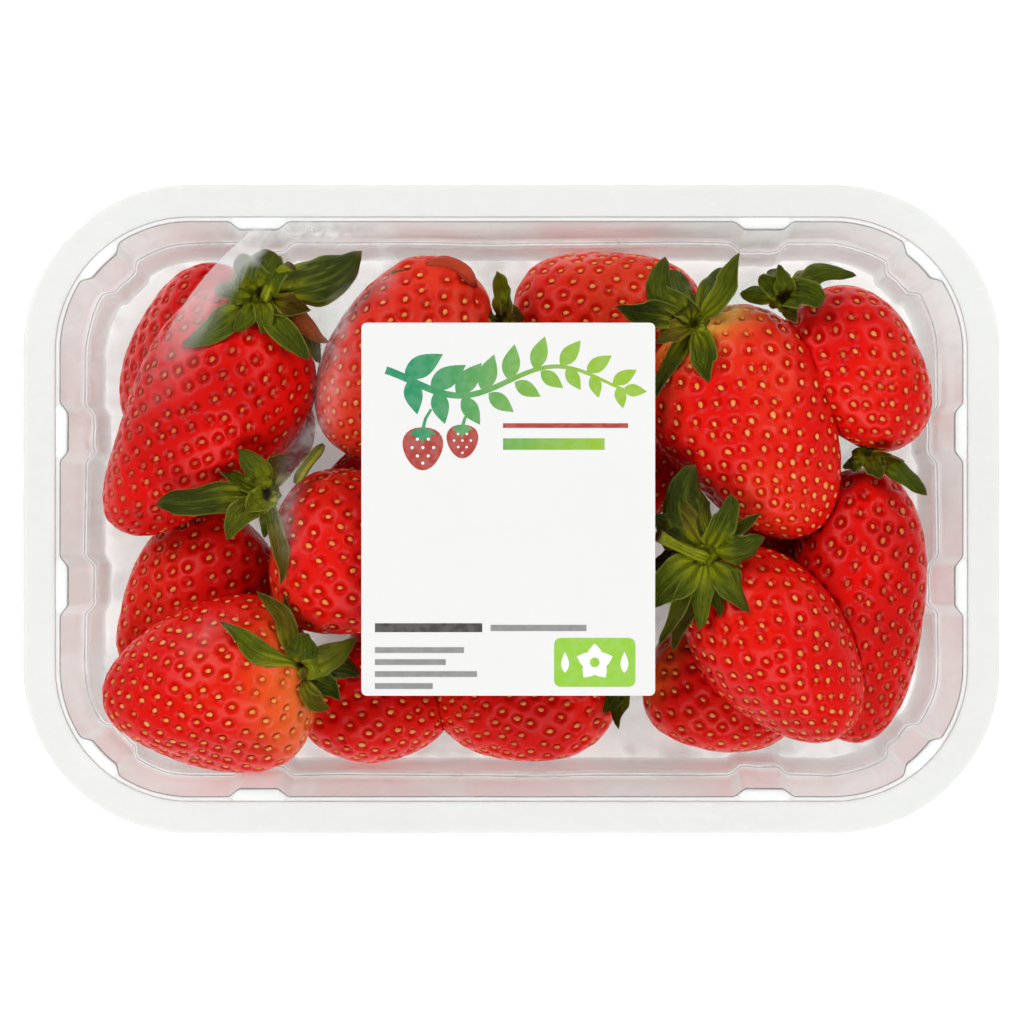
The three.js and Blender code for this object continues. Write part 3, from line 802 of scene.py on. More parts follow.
def leafPart(hub, leaf, solids, seed):
    rng = np.random.default_rng(seed)
    start, tip = np.array(hub, float) * mm, np.array(leaf[:3], float) * mm
    start = start + (tip - start) * min(0.25, leafLook["ring"] * mm / np.linalg.norm(tip - start))
    width, arch, bow = leaf[3] * mm, leaf[4] * mm, leaf[5] * mm
    shade = np.clip(leaf[6] + rng.normal(0, leafLook["shadeSpread"]), 0, 1)
    blush = leaf[7] if len(leaf) > 7 else max(0, rng.normal(0, leafLook["blushSpread"]))
    blunt = leaf[8] if len(leaf) > 8 else rng.uniform(*leafLook["blunt"])
    rows, columns = leafLook["rows"], leafLook["columns"]
    u = np.linspace(0, 1, rows + 1)
    v = np.linspace(-1, 1, columns + 1)
    # the middle line
    reach = np.linalg.norm(tip - start)
    heading = (tip - start) / reach
    side = unit(np.cross((0, 0, 1), heading))
    lift = np.cross(heading, side)
    bulge = np.sin(math.pi * u)
    middle = start + np.outer(u, tip - start) + np.outer(bulge * arch, lift) - np.outer(bulge * bow, side)
    hump = np.sin(math.pi * np.minimum(u * 1.6, 1)) * leafLook["rise"]
    middle[:, 2] += (hump + rng.uniform(*leafLook["tipLift"]) * u ** 3) * mm
    sway = np.sin(fullTurn * u + rng.uniform(0, 6)) * u
    middle += np.outer(sway, side) * reach * leafLook["meander"]
    # half the width along the leaf, with a wobbly edge on either side
    widest = rng.uniform(*leafLook["widest"])
    half = width / 2 * np.maximum(np.sin(math.pi * u ** widest) ** blunt, 0.5 * (1 - u) ** 0.8)
    wobble = []
    for a, b, c in rng.uniform(0, 6, (2, 3)):
        teeth = 0.16 * np.sin(27 * u + c) * smoothStep(0.7, 1, u)
        wobble.append(1 + 0.10 * np.sin(5.5 * u + a) + 0.06 * np.sin(13 * u + b) + teeth)
    half = half[:, None] * np.where(v[None, :] > 0, wobble[0][:, None], wobble[1][:, None])
    # the ways across the leaf and up from it, which roll towards the tip
    tangent = np.gradient(middle, axis=0)
    across = unit(side - (tangent @ side)[:, None] * tangent / np.sum(tangent ** 2, axis=1)[:, None])
    up = unit(np.cross(tangent, across))
    roll = (rng.normal(0, leafLook["roll"]) * u)[:, None]
    across, up = across * np.cos(roll) + up * np.sin(roll), up * np.cos(roll) - across * np.sin(roll)
    phase = rng.uniform(0, 6, 2)
    edgeWave = np.sin(fullTurn * leafLook["ripples"] * u[:, None] + phase[(v > 0).astype(int)][None, :])
    fold = leafLook["fold"] * rng.uniform(*leafLook["folds"])
    cup = leafLook["cup"] * rng.choice((-1, 1)) * rng.uniform(*leafLook["cups"])
    rise = fold * np.abs(v)[None, :] + cup * (v ** 2)[None, :]
    rise = (rise + leafLook["ripple"] * (v ** 2)[None, :] * edgeWave) * half
    grid = middle[:, None, :] + across[:, None, :] * (half * v[None, :])[:, :, None]
    grid = grid + up[:, None, :] * rise[:, :, None]
    flat = settleOutside(grid.reshape(-1, 3), solids, leafLook["clearance"] * mm, leafLook["deepest"] * mm)[0]
    flat[:, 2] = np.minimum(flat[:, 2], leafLook["highest"] * mm)
    values = {"u": np.tile(np.repeat(u, columns + 1), 2), "v": np.tile(v, 2 * rows + 2), "shade": shade,
              "under": np.repeat([0.0, 1.0], len(flat)), "blush": blush}
    return {**thickSheet(flat.reshape(rows + 1, columns + 1, 3), v), "values": values}


def thickSheet(grid, v):
    # two layers of a grid of points, thinner at the edges, closed round the border
    rows, columns = grid.shape[0] - 1, grid.shape[1] - 1
    normal = unit(np.cross(np.gradient(grid, axis=0), np.gradient(grid, axis=1)))
    half = np.clip(1.25 - np.abs(v) ** 4, 0.25, 1)[None, :, None] * leafLook["thickness"] * mm / 2
    top, under = (grid + normal * half).reshape(-1, 3), (grid - normal * half).reshape(-1, 3)
    count, line = len(top), columns + 1
    faces = []
    for i in range(rows):
        for j in range(columns):
            a = i * line + j
            faces.append((a, a + line, a + line + 1, a + 1))
            faces.append((count + a, count + a + 1, count + a + line + 1, count + a + line))
    border = list(range(line)) + [i * line + columns for i in range(1, rows + 1)]
    border += [rows * line + j for j in range(columns - 1, -1, -1)]
    border += [i * line for i in range(rows - 1, 0, -1)]
    faces += [(a, b, count + b, count + a) for a, b in zip(border, border[1:] + border[:1])]
    return {"points": np.concatenate([top, under]), "faces": faces}


def tubePart(start, end, thickness, shade, blush, bent, closed):
    start, end = np.array(start, float) * mm, np.array(end, float) * mm
    bands, sides = stalkLook["bands"], stalkLook["sides"]
    axis = unit(end - start)
    side = unit(np.cross(axis, (0.1, 0.2, 1)))
    other = np.cross(axis, side)
    bow = bent * np.linalg.norm(end - start)
    points = []
    for t in np.arange(bands + 1) / bands:
        waist = 1.12 - stalkLook["waist"] * math.sin(math.pi * t) + stalkLook["knots"] * math.sin(9 * t)
        radius = thickness / 2 * mm * waist * (1 - closed * (2 * t - 1) ** 4)
        centre = start + (end - start) * t - side * bow * math.sin(math.pi * t)
        for k in range(sides):
            angle = fullTurn * k / sides
            flute = 1 + stalkLook["flutes"] * math.cos(5 * angle)
            points.append(centre + (side * math.cos(angle) + other * math.sin(angle)) * radius * flute)
    last, foot, top = bands * sides, len(points), len(points) + 1
    points += [start, end - axis * thickness * stalkLook["hollow"] * mm]
    faces = ringFaces(bands, sides)
    for k in range(sides):
        after = (k + 1) % sides
        faces += [(foot, after, k), (top, last + k, last + after)]
    t = np.append(np.repeat(np.linspace(0, 1, bands + 1), sides), [0, 1])
    v = np.append(np.tile(np.linspace(-1, 1, sides), bands + 1), [0, 0])
    values = {"u": t * 0.3, "v": v, "shade": shade, "blush": blush,
              "under": np.where((t > 0.97) & (closed == 0), 2.0, 0.0)}
    return {"points": np.array(points), "faces": faces, "values": values}


def hubPart(hub, facing, seed):
    rng = np.random.default_rng(seed)
    centre = np.array(hub, float) * mm
    up = unit(np.array(facing, float))
    side = unit(np.cross(up, (0.3, 1, 0.1)))
    other = np.cross(up, side)
    radius, sides, profile = hubLook["radius"] * mm, hubLook["sides"], hubLook["profile"]
    points = []
    for share, height in profile:
        for k in range(sides):
            angle = fullTurn * k / sides
            spread = radius * share * (1 + hubLook["scallop"] * math.cos(7 * angle + seed) * (share > 0.45))
            points.append(centre + (side * math.cos(angle) + other * math.sin(angle)) * spread
                          + up * height * radius * 0.5)
    share = np.repeat([share for share, height in profile], sides)
    values = {"u": share * 0.25, "v": rng.uniform(-1, 1, len(points)), "shade": hubLook["shade"],
              "under": np.where(share < 0.3, 2.0, 0.0), "blush": 0.0}
    return {"points": np.array(points), "faces": ringFaces(len(profile) - 1, sides, True), "values": values}


def leafMaterial():
    material, tree, output = newMaterial("calyxLeaf")
    u, v = attribute(tree, "u"), attribute(tree, "v")
    shade, under = attribute(tree, "shade"), attribute(tree, "under")
    # shade picks dark, middle or light green: the leaf's own tone together with painted light and shade
    dark = mixColour(tree, mapRange(tree, shade, 0.0, 0.5), leafColours["dark"], leafColours["middle"])
    green = mixColour(tree, mapRange(tree, shade, 0.5, 1.0), dark, leafColours["light"])
    drift = mixColour(tree, 0.55, green, leafColours["drift"])
    patches = placeGroup(tree, mottle, Base=green, Drift=drift,
                         Patch_Scale=260.0, Fleck_Scale=1500.0, Amount=0.6)
    # streaks along the leaf, a soft midrib and faint side veins that slant off it
    sideways = math2(tree, "ABSOLUTE", v)
    fibre = addNode(tree, "CombineXYZ", X=times(tree, u, 2.4), Y=times(tree, v, 5.0),
                    Z=times(tree, shade, 23.0)).outputs[0]
    streaks = noise(tree, fibre, 1.7, 3.0)
    slant = math2(tree, "SUBTRACT", times(tree, u, 48.0), times(tree, sideways, 15.0))
    veins = mapRange(tree, math2(tree, "SINE", slant), 0.6, 1.0, 0.0, 0.07)
    midrib = mapRange(tree, sideways, 0.0, 0.12, 0.3, 0.0)
    lit = larger(tree, mapRange(tree, streaks, 0.5, 0.72, 0.0, 0.4), larger(tree, veins, midrib))
    lines = times(tree, lit, mapRange(tree, u, 0.6, 1.0, 1.0, 0.3))
    # light ribs at the foot of each leaf
    ribs = mapRange(tree, math2(tree, "SINE", times(tree, v, 9.0)), -0.6, 0.9, 0.25, 1.0)
    foot = times(tree, ribs, mapRange(tree, u, 0.05, 0.5, 1.0, 0.0))
    # under is 1 below a leaf, and 2 on a stalk's cut end and in a hub's hollow middle, which turn dark brown
    layers = ((mapRange(tree, streaks, 0.5, 0.3, 0.0, 0.5), "streak"), (lines, "vein"), (foot, "foot"),
              (mapRange(tree, sideways, 0.86, 1.0, 0.0, 0.6), "rim"),
              (mapRange(tree, u, 0.9, 1.0, 0.0, 0.6), "tip"), (attribute(tree, "blush"), "blush"),
              (mapRange(tree, under, 0.3, 1.0, 0.0, 0.5), "under"), (mapRange(tree, under, 1.2, 2.0), "cut"))
    colour = patches["Color"]
    for share, tone in layers:
        colour = mixColour(tree, share, colour, leafColours[tone])
    skin = placeGroup(tree, grain, Wave_Scale=420.0, Grain_Scale=2600.0, Grain=0.5)
    height = math2(tree, "ADD", skin["Height"], times(tree, streaks, 2.2))
    principled(tree, output, Base_Color=colour, IOR=1.22,
               Roughness=mapRange(tree, patches["Mask"], 0.0, 0.6, 0.3, 0.45),
               Normal=bumped(tree, height, 0.9, 0.0005))
    return material


def buildCalyxes():
    parts = []
    for number, calyx in enumerate(calyxes.values()):
        for index, leaf in enumerate(calyx["leaves"]):
            parts.append(leafPart(calyx["hub"], leaf, berrySolids, 1000 + number * 40 + index))
        parts.append(hubPart(calyx["hub"], calyx["facing"], number))
    parts += [tubePart(*stalk) for stalk in stalks.values()]
    addPiece("calyxes", joinParts(parts), [leafMaterial()])


buildCalyxes()
print("calyxes built")

# The tray has the same section and outline as the imported tray, with its bends rounded; in mm,
# with angles in radians. milk is how whitish a part of the sheet is. Dark lines are painted along
# the bends, in place of the dark edges that refraction gives the clear sheet there.
tray = {
    "length": 187, "width": 124, "depth": 50, "cornerRadius": 31.7, "sheet": 0.6,
    "flange": 5.8, "stepDrop": 1.1, "stepWidth": 1.0, "shelfHeight": 25, "shelfWidth": 1.1,
    "upperDraft": 2.6, "lowerDraft": 1.7, "floorCurve": 4.5, "foot": 9, "panelRise": 1.0,
    "lugHalf": 4.7, "lugRamp": 1.4, "lugReach": 1.6, "longSideLugX": 48.6, "shortSideLugY": 14.8,
    "cornerLugHalf": math.radians(10), "cornerLugRamp": math.radians(3),
    "ripple": 0.09, "overhang": 0.25,
    "ripples": ((17, 0.0, 0.9), (29, 1.3, 0.8), (53, 0.4, 0.6), (83, 2.1, 0.3)),  # count, phase, size
    "paintedLineWidths": (0.28, 0.19, 0.22, 0.3), "paintedLineStrengths": (0.95, 1.0, 0.95, 0.3),
    "flangeMilk": 0.85, "ledgeMilk": 0.93, "shelfMilk": 0.1, "shelfPaintedLine": 0.25,
}
trayLook = {"clear": (0.972, 0.98, 0.975), "grazing": (0.92, 0.94, 0.935), "veil": (0.84, 0.90, 0.89),
            # floor is a greyer see-through colour for the tray's floor: painted shade, darkening the glowing
            # floor seen through it
            "matt": (0.775, 0.78, 0.762), "floor": (0.93, 0.935, 0.925), "white": (0.84, 0.845, 0.84),
            # line is the colour of the dark lines painted along the bends, in place of the dark edges of
            # refraction
            "line": (0.22, 0.20, 0.20), "roughness": 0.1, "shine": (0.02, 0.2), "whiteness": 0.5,
            "shadow": (0.92, 0.95, 0.945)}


def lugShare(offset, half, ramp):
    return 1 - smoothStep(half - ramp, half + ramp, np.abs(offset))


def trayStations():
    # places along the outline: x, y, the way inward, and the share of a lug's reach there
    stations = []
    halfX, halfY, corner = tray["length"] / 2, tray["width"] / 2, tray["cornerRadius"]
    fine = np.arange(-tray["lugHalf"] - 1.6, tray["lugHalf"] + 1.61, 0.4)
    bend = np.concatenate([np.radians(np.arange(0, 90.1, 3.0)),
                           math.pi / 4 + np.radians(np.arange(-14, 14.1, 1.0))])
    for quarter in range(4):
        angle = quarter * math.pi / 2
        outward = np.array([math.cos(angle), math.sin(angle)])
        forward = np.array([-outward[1], outward[0]])
        alongX = quarter % 2 == 0
        half, straight = (halfX, halfY - corner) if alongX else (halfY, halfX - corner)
        lug = tray["shortSideLugY"] if alongX else tray["longSideLugX"]
        coarse = np.arange(-straight, straight, 2.2)
        places = np.unique(np.round(np.concatenate([coarse, fine + lug, fine - lug]), 3))
        for place in places[np.abs(places) < straight]:
            share = lugShare(abs(place) - lug, tray["lugHalf"], tray["lugRamp"])
            stations.append((*(outward * half + forward * place), *-outward, share))
        diagonal = angle + math.pi / 4
        centre = np.array([np.sign(math.cos(diagonal)) * (halfX - corner),
                           np.sign(math.sin(diagonal)) * (halfY - corner)])
        for turn in np.unique(np.round(bend, 4)):
            way = np.array([math.cos(angle + turn), math.sin(angle + turn)])
            share = lugShare(turn - math.pi / 4, tray["cornerLugHalf"], tray["cornerLugRamp"])
            stations.append((*(centre + way * corner), *-way, share))
    return np.array(stations)


def roundedPath(corners, steps):
    # corners are inset, z, share of the lugs' reach, and the bend's radius
    path = []
    for i, (*place, radius) in enumerate(corners):
        here = np.array(place)
        if radius == 0 or i in (0, len(corners) - 1):
            path.append(here)
            continue
        before, after = np.array(corners[i - 1][:3]), np.array(corners[i + 1][:3])
        inLength = np.linalg.norm((before - here)[:2])
        outLength = np.linalg.norm((after - here)[:2])
        cut = min(radius, 0.45 * inLength, 0.45 * outLength)
        first = here + (before - here) * cut / inLength
        last = here + (after - here) * cut / outLength
        for k in range(steps + 1):
            t = k / steps
            path.append(first * (1 - t) ** 2 + here * 2 * t * (1 - t) + last * t ** 2)
    return np.array(path)


def traySection():
    depth, flange, shelf, sheet = tray["depth"], tray["flange"], tray["shelfHeight"], tray["sheet"]
    stepZ = depth - tray["stepDrop"]
    wallTop = flange + tray["stepWidth"]
    shelfOut = wallTop + tray["upperDraft"]
    shelfIn = shelfOut + tray["shelfWidth"]
    curveTop = shelfIn + tray["lowerDraft"]
    curveIn = curveTop + tray["floorCurve"]
    footIn = curveIn + tray["foot"]
    corners = [(0, depth, 0, 0), (flange - 0.06, depth, 0, 0.2), (flange + 0.26, stepZ, 0, 0.2),
               (wallTop - 0.32, stepZ - 0.06, 0.94, 0), (wallTop, stepZ - 0.1, 1, 0.15),
               (shelfOut, shelf, 1.1, 0.5), (shelfIn, shelf - 0.7, 1.1, 0.5),
               (curveTop, sheet + tray["floorCurve"] * 0.6, 0.6, 3.0), (curveIn, sheet, 0, 3.0),
               (footIn, sheet, 0, 0.5), (footIn + 1, sheet + tray["panelRise"], 0, 0.5)]
    path = roundedPath(corners, 4)
    # long stretches are divided, and more finely beside the bends that show as thin lines, where dark lines
    # are painted
    lines = np.array([[flange + 0.1, depth - 0.5], [wallTop - 0.03, stepZ - 0.1],
                      [shelfOut + 0.12, shelf - 0.06], [shelfIn, shelf - 0.7]])
    longest, beside, nearby = 2.4, (0.25, 0.6), 15
    dense = [path[0], np.array([0.15, depth, 0])]
    for a, b in zip(path[:-1], path[1:]):
        length = np.linalg.norm((b - a)[:2])
        gap = np.linalg.norm(lines - ((a + b) / 2)[:2], axis=1).min()
        steps = list(np.linspace(0, 1, max(1, int(length / longest)) + 1)[1:])
        if length > 0.5 and gap < nearby:
            extra = [step / length for step in beside] + [1 - step / length for step in beside]
            steps += [k for k in extra if 0 < k < 1]
        dense += [a + (b - a) * k for k in np.unique(steps)]
    return np.array(dense), lines


def offsetPath(path, distance):
    ways = unit(np.diff(path[:, :2], axis=0))
    ways = unit(np.concatenate([ways[:1], (ways[1:] + ways[:-1]), [[1.0, 0.0]]]))
    normals = np.stack([ways[:, 1], -ways[:, 0]], axis=1)
    moved = path.copy()
    moved[:, :2] += normals * distance
    return moved


def trayPart():
    stations = trayStations()
    upper, lines = traySection()
    lower = offsetPath(upper, tray["sheet"])
    out, top = -tray["overhang"], tray["depth"]
    edge = np.array([[out, top - 0.12, 0], [out, top - 0.48, 0]])
    upper[0, 0] = out + 0.1
    lower[0] = (out + 0.1, top - tray["sheet"], 0)
    rows = np.concatenate([upper[::-1], edge, lower])
    count = len(stations)
    along = np.arange(count) / count * fullTurn
    points, milk, line = [], [], []
    for number, (inset, z, lug) in enumerate(rows):
        isUpper = number < len(upper)
        shelf = isUpper and abs(z - tray["shelfHeight"] + 0.35) < 0.55
        milky = np.full(count, tray["shelfMilk"] if shelf else 0.0)
        if z > top - tray["stepDrop"] - 0.2 and number < len(upper) + len(edge):
            milky = tray["ledgeMilk"] - 0.6 * stations[:, 4]
            if inset < tray["flange"] + 0.05:
                milky = np.full(count, tray["flangeMilk"])
        milk.append(milky)
        # dark lines are painted where the section bends, in place of the dark edges of refraction
        gap = np.linalg.norm(lines - (inset, z), axis=1)
        sharp = max(np.exp(-(gap / tray["paintedLineWidths"]) ** 2) * tray["paintedLineStrengths"])
        line.append(max(sharp, tray["shelfPaintedLine"] if shelf else 0))
        # the wall is drawn unevenly between the flange and the floor
        wall = math.exp(-((z - 26) / 16) ** 2) * (inset > 6)
        ripple = sum(size * np.sin(waves * along + shift + 0.06 * z * math.sin(waves))
                     for waves, shift, size in tray["ripples"])
        reach = inset + stations[:, 4] * lug * tray["lugReach"] + tray["ripple"] * ripple * wall
        place = stations[:, :2] + stations[:, 2:4] * reach[:, None]
        points.append(np.column_stack([place, np.full(count, z)]))
    faces = ringFaces(len(rows) - 1, count, True)
    last = (len(rows) - 1) * count
    # the floor's two faces
    faces += [tuple(range(count)), tuple(range(last + count - 1, last - 1, -1))]
    return {"points": np.concatenate(points) * mm, "faces": faces,
            "values": {"milk": np.concatenate(milk), "line": np.repeat(line, count)}}


def plasticShader(tree, output, look, haze, line, normal):
    # clear sheet: see-through face on, whiter and mirror-like edge on, with a veil of haze
    facing = addNode(tree, "LayerWeight", Blend=0.5, Normal=normal).outputs["Facing"]
    grazing = mapRange(tree, facing, 0.5, 0.92)
    tint = mixColour(tree, grazing, look["clear"], look["grazing"])
    # line darkens the see-through colour: painted dark lines
    through = addNode(tree, "BsdfTransparent", Color=mixColour(tree, line, tint, look["line"]))
    mirror = addNode(tree, "BsdfPrincipled", Base_Color=(1, 1, 1, 1), Metallic=1.0,
                     Roughness=look["roughness"], Normal=normal)
    milky = mixColour(tree, mapRange(tree, haze, 0.86, 0.91), look["matt"], look["white"])
    veilColour = mixColour(tree, mapRange(tree, haze, 0.55, 0.8), look["veil"], milky)
    veil = addNode(tree, "BsdfPrincipled", Base_Color=veilColour, Roughness=0.5, Normal=normal)
    clearOfLine = math2(tree, "SUBTRACT", 1.0, line)
    steep = math2(tree, "POWER", mapRange(tree, facing, 0.3, 1.0), 2.5)
    shine = times(tree, clearOfLine, mapRange(tree, steep, 0.0, 1.0, *look["shine"]))
    glass = mixShader(tree, shine, through.outputs[0], mirror.outputs[0])
    white = larger(tree, haze, times(tree, grazing, look["whiteness"]))
    mixed = mixShader(tree, times(tree, white, clearOfLine), glass, veil.outputs[0])
    # lamps shine straight through
    plain = addNode(tree, "BsdfTransparent", Color=(*look["shadow"], 1))
    shadow = addNode(tree, "LightPath").outputs["Is Shadow Ray"]
    whole = mixShader(tree, shadow, mixed, plain.outputs[0])
    tree.links.new(whole, output.inputs["Surface"])


def trayMaterial():
    material, tree, output = newMaterial("trayPlastic")
    # waves and cloudy streaks run up the drawn wall, and a few glints lie level on it
    waves = noise(tree, objectPlace(tree, (130, 130, 14)), 1.0, 2.0)
    streaks = noise(tree, objectPlace(tree, (75, 75, 12)), 1.0, 2.0)
    cloud = mapRange(tree, streaks, 0.42, 0.68, 0.0, 0.3)
    glint = mapRange(tree, noise(tree, objectPlace(tree, (26, 26, 62)), 1.0, 2.0), 0.50, 0.66, 0.0, 0.14)
    height = addNode(tree, "SeparateXYZ", Vector=objectPlace(tree)).outputs["Z"]
    low = mapRange(tree, height, 0.002, 0.006, 1.0, 0.0)
    onWall = times(tree, glint, math2(tree, "SUBTRACT", 1.0, low))
    haze = larger(tree, attribute(tree, "milk"), larger(tree, cloud, onWall))
    # the tray's floor sees through greyer: painted shade on the bright floor below
    look = {**trayLook, "clear": mixColour(tree, low, trayLook["clear"], trayLook["floor"])}
    normal = bumped(tree, waves, 0.7, 0.0022)
    plasticShader(tree, output, look, haze, attribute(tree, "line"), normal)
    return material


addPiece("trayShell", trayPart(), [trayMaterial()], ["tray"])
print("tray built")

film = {
    "trim": 0.3, "height": 50.02, "thickness": 0.06, "step": 2.2, "wave": 0.09, "creaseStep": 0.7,
    # creases: points in mm, height and half width of the fold
    "creases": (
        (((-33.0, 33.5), (-29.5, 38.0), (-24.4, 45.2)), 0.22, 0.40),
        (((-31.0, 34.0), (-27.6, 38.6), (-24.9, 43.6)), 0.16, 0.35),
        (((-34.5, 36.5), (-30.0, 41.0), (-25.8, 45.4)), 0.14, 0.35),
        (((-24.6, 53.6), (-25.3, 47.8), (-28.4, 43.0)), 0.30, 0.70),
        (((-41.5, 18.2), (-39.0, 14.6), (-36.4, 11.9)), 0.20, 0.45),
        (((-39.6, 19.2), (-37.6, 16.0), (-35.6, 13.6)), 0.14, 0.35),
        (((-46.5, 8.5), (-44.0, 4.0), (-43.2, -2.0)), 0.16, 0.50),
        (((-50.6, 49.4), (-45.0, 50.4), (-38.6, 50.0)), 0.12, 0.60),
    ),
    # mist and glare on the film, partly the film's own haze and partly painted glare where it catches
    # the lamps: place, reach along and across in mm, turn in degrees, strength
    "mistAndGlare": (
        (-66.5, 27.0, 8.0, 3.5, 62, 0.06), (-43.0, 3.0, 6.0, 1.8, 80, 0.12),
        (-42.5, -4.5, 4.0, 1.4, 95, 0.10), (-32.0, 37.5, 6.0, 2.0, 60, 0.16),
        (-34.0, 26.0, 9.0, 2.2, 80, 0.14), (-39.0, 13.8, 4.5, 1.8, 45, 0.12),
        (-47.0, 53.2, 8.0, 1.6, 2, 0.30), (-36.0, 53.0, 6.5, 1.8, -5, 0.34),
        (-24.8, 48.0, 1.6, 5.5, 0, 0.20), (-80.0, 20.0, 4.0, 22.0, 0, 0.07),
        (62.0, 50.0, 14.0, 2.0, 0, 0.12), (-59.0, -24.0, 5.0, 2.0, 35, 0.06),
    ),
    # a band of glare with a sharp outer rim: centre and radius of the rim, width in mm, and the
    # angles in degrees between which it fades in and out
    "band": {"x": -7.5, "y": 1.6, "radius": 67.1, "width": 5.0, "strength": 0.36,
             "fadeIn": (126, 132), "fadeOut": (142, 158), "flare": (136, 150)},
}
filmLook = {"clear": (0.995, 0.995, 0.995), "grazing": (0.95, 0.95, 0.95), "veil": (0.92, 0.93, 0.93),
            "matt": (0.92, 0.93, 0.93), "white": (0.92, 0.93, 0.93), "line": (0.22, 0.20, 0.20),
            "roughness": 0.05, "shine": (0.006, 0.4), "whiteness": 0.1, "shadow": (0.97, 0.97, 0.97)}


def roundedOutline(length, width, radius, step):
    outline = []
    for quarter in range(4):
        angle = quarter * math.pi / 2
        diagonal = angle + math.pi / 4
        cx = np.sign(math.cos(diagonal)) * (length / 2 - radius)
        cy = np.sign(math.sin(diagonal)) * (width / 2 - radius)
        count = max(3, int(radius * math.pi / 2 / step))
        for k in range(count + 1):
            turn = angle + math.pi / 2 * k / count
            outline.append((cx + radius * math.cos(turn), cy + radius * math.sin(turn)))
    dense = []
    for (ax, ay), (bx, by) in zip(outline, outline[1:] + outline[:1]):
        count = max(1, int(math.hypot(bx - ax, by - ay) / step))
        dense += [(ax + (bx - ax) * k / count, ay + (by - ay) * k / count) for k in range(count)]
    return np.array(dense)


def nearLine(x, y, line):
    # distance to a line of points, and how far along it, from 0 to 1
    best, along = np.full(np.shape(x), np.inf), np.zeros(np.shape(x))
    for k, ((ax, ay), (bx, by)) in enumerate(zip(line[:-1], line[1:])):
        length = (bx - ax) ** 2 + (by - ay) ** 2
        t = np.clip(((x - ax) * (bx - ax) + (y - ay) * (by - ay)) / length, 0, 1)
        gap = np.hypot(x - ax - t * (bx - ax), y - ay - t * (by - ay))
        along = np.where(gap < best, (k + t) / (len(line) - 1), along)
        best = np.minimum(best, gap)
    return best, along


def filmHeight(x, y):
    # flat on the flange and under the label, with slack waves between them, and the creases
    inset = tray["flange"] + tray["stepWidth"] + 0.2
    fromRim = np.minimum(tray["length"] / 2 - inset - np.abs(x), tray["width"] / 2 - inset - np.abs(y))
    free = smoothStep(0, 7, fromRim) * smoothStep(28, 40, np.hypot(x * 1.05, y * 0.8))
    wave = np.sin(0.21 * x + 0.35 * y + 1.0) + 0.7 * np.sin(0.45 * x - 0.22 * y)
    wave = wave + 0.4 * np.sin(0.8 * y + 0.3 * x)
    height = film["height"] + film["wave"] * free * wave
    for line, rise, half in film["creases"]:
        gap, along = nearLine(x, y, line)
        height = height + rise * np.exp(-(gap / half) ** 2) * np.sin(math.pi * np.clip(along, 0, 1)) ** 0.5
    return height


def filmMistAndGlare(x, y):
    # white haze patches, partly painted glare
    mistAndGlare = np.zeros(np.shape(x))
    for cx, cy, reach, across, turn, strength in film["mistAndGlare"]:
        c, s = math.cos(math.radians(turn)), math.sin(math.radians(turn))
        u, v = (x - cx) * c + (y - cy) * s, (y - cy) * c - (x - cx) * s
        mistAndGlare = mistAndGlare + strength * np.exp(-(u / reach) ** 2 - (v / across) ** 2)
    return mistAndGlare


def filmBand(x, y):
    # signed distance inside the rim of the glare band, and how strong the band is there
    band = film["band"]
    inside = band["radius"] - np.hypot(x - band["x"], y - band["y"])
    angle = np.degrees(np.arctan2(y - band["y"], x - band["x"])) % 360
    ends = smoothStep(*band["fadeIn"], angle) * (1 - smoothStep(*band["fadeOut"], angle))
    outer = band["width"] + 2.2 * smoothStep(*band["flare"], angle) + 0.6
    return inside, band["strength"] * ends * (1 - smoothStep(band["width"] - 0.8, outer, inside))


def creasePoints():
    # rows of points across each crease
    places = []
    for crease in film["creases"]:
        points, half = np.array(crease[0]), crease[2]
        for point, way in zip(points[:-1], np.diff(points, axis=0)):
            length = np.linalg.norm(way)
            normal = np.array([-way[1], way[0]]) / length
            for t in np.arange(0, 1, film["creaseStep"] / length):
                places += [point + way * t + normal * half * k for k in (-2.4, -1.5, -0.8, 0, 0.8, 1.5, 2.4)]
    return np.array(places)


def filmGrid(length, width, radius, folds):
    # an even grid inside the rim, left open where the creases have their own points
    step = film["step"]
    xs, ys = np.meshgrid(np.arange(-length / 2, length / 2, step), np.arange(-width / 2, width / 2, step))
    xs = xs + (np.arange(xs.shape[0]) % 2)[:, None] * step / 2
    grid = np.column_stack([xs.ravel(), ys.ravel()])
    margin = step * 1.6
    ax, ay = np.abs(grid[:, 0]), np.abs(grid[:, 1])
    dx, dy = np.maximum(ax - (length / 2 - radius), 0), np.maximum(ay - (width / 2 - radius), 0)
    inside = (np.hypot(dx, dy) < radius - margin) & (ax < length / 2 - margin) & (ay < width / 2 - margin)
    grid = grid[inside]
    for fold in folds[::3]:
        grid = grid[np.hypot(grid[:, 0] - fold[0], grid[:, 1] - fold[1]) > 1.2]
    return grid


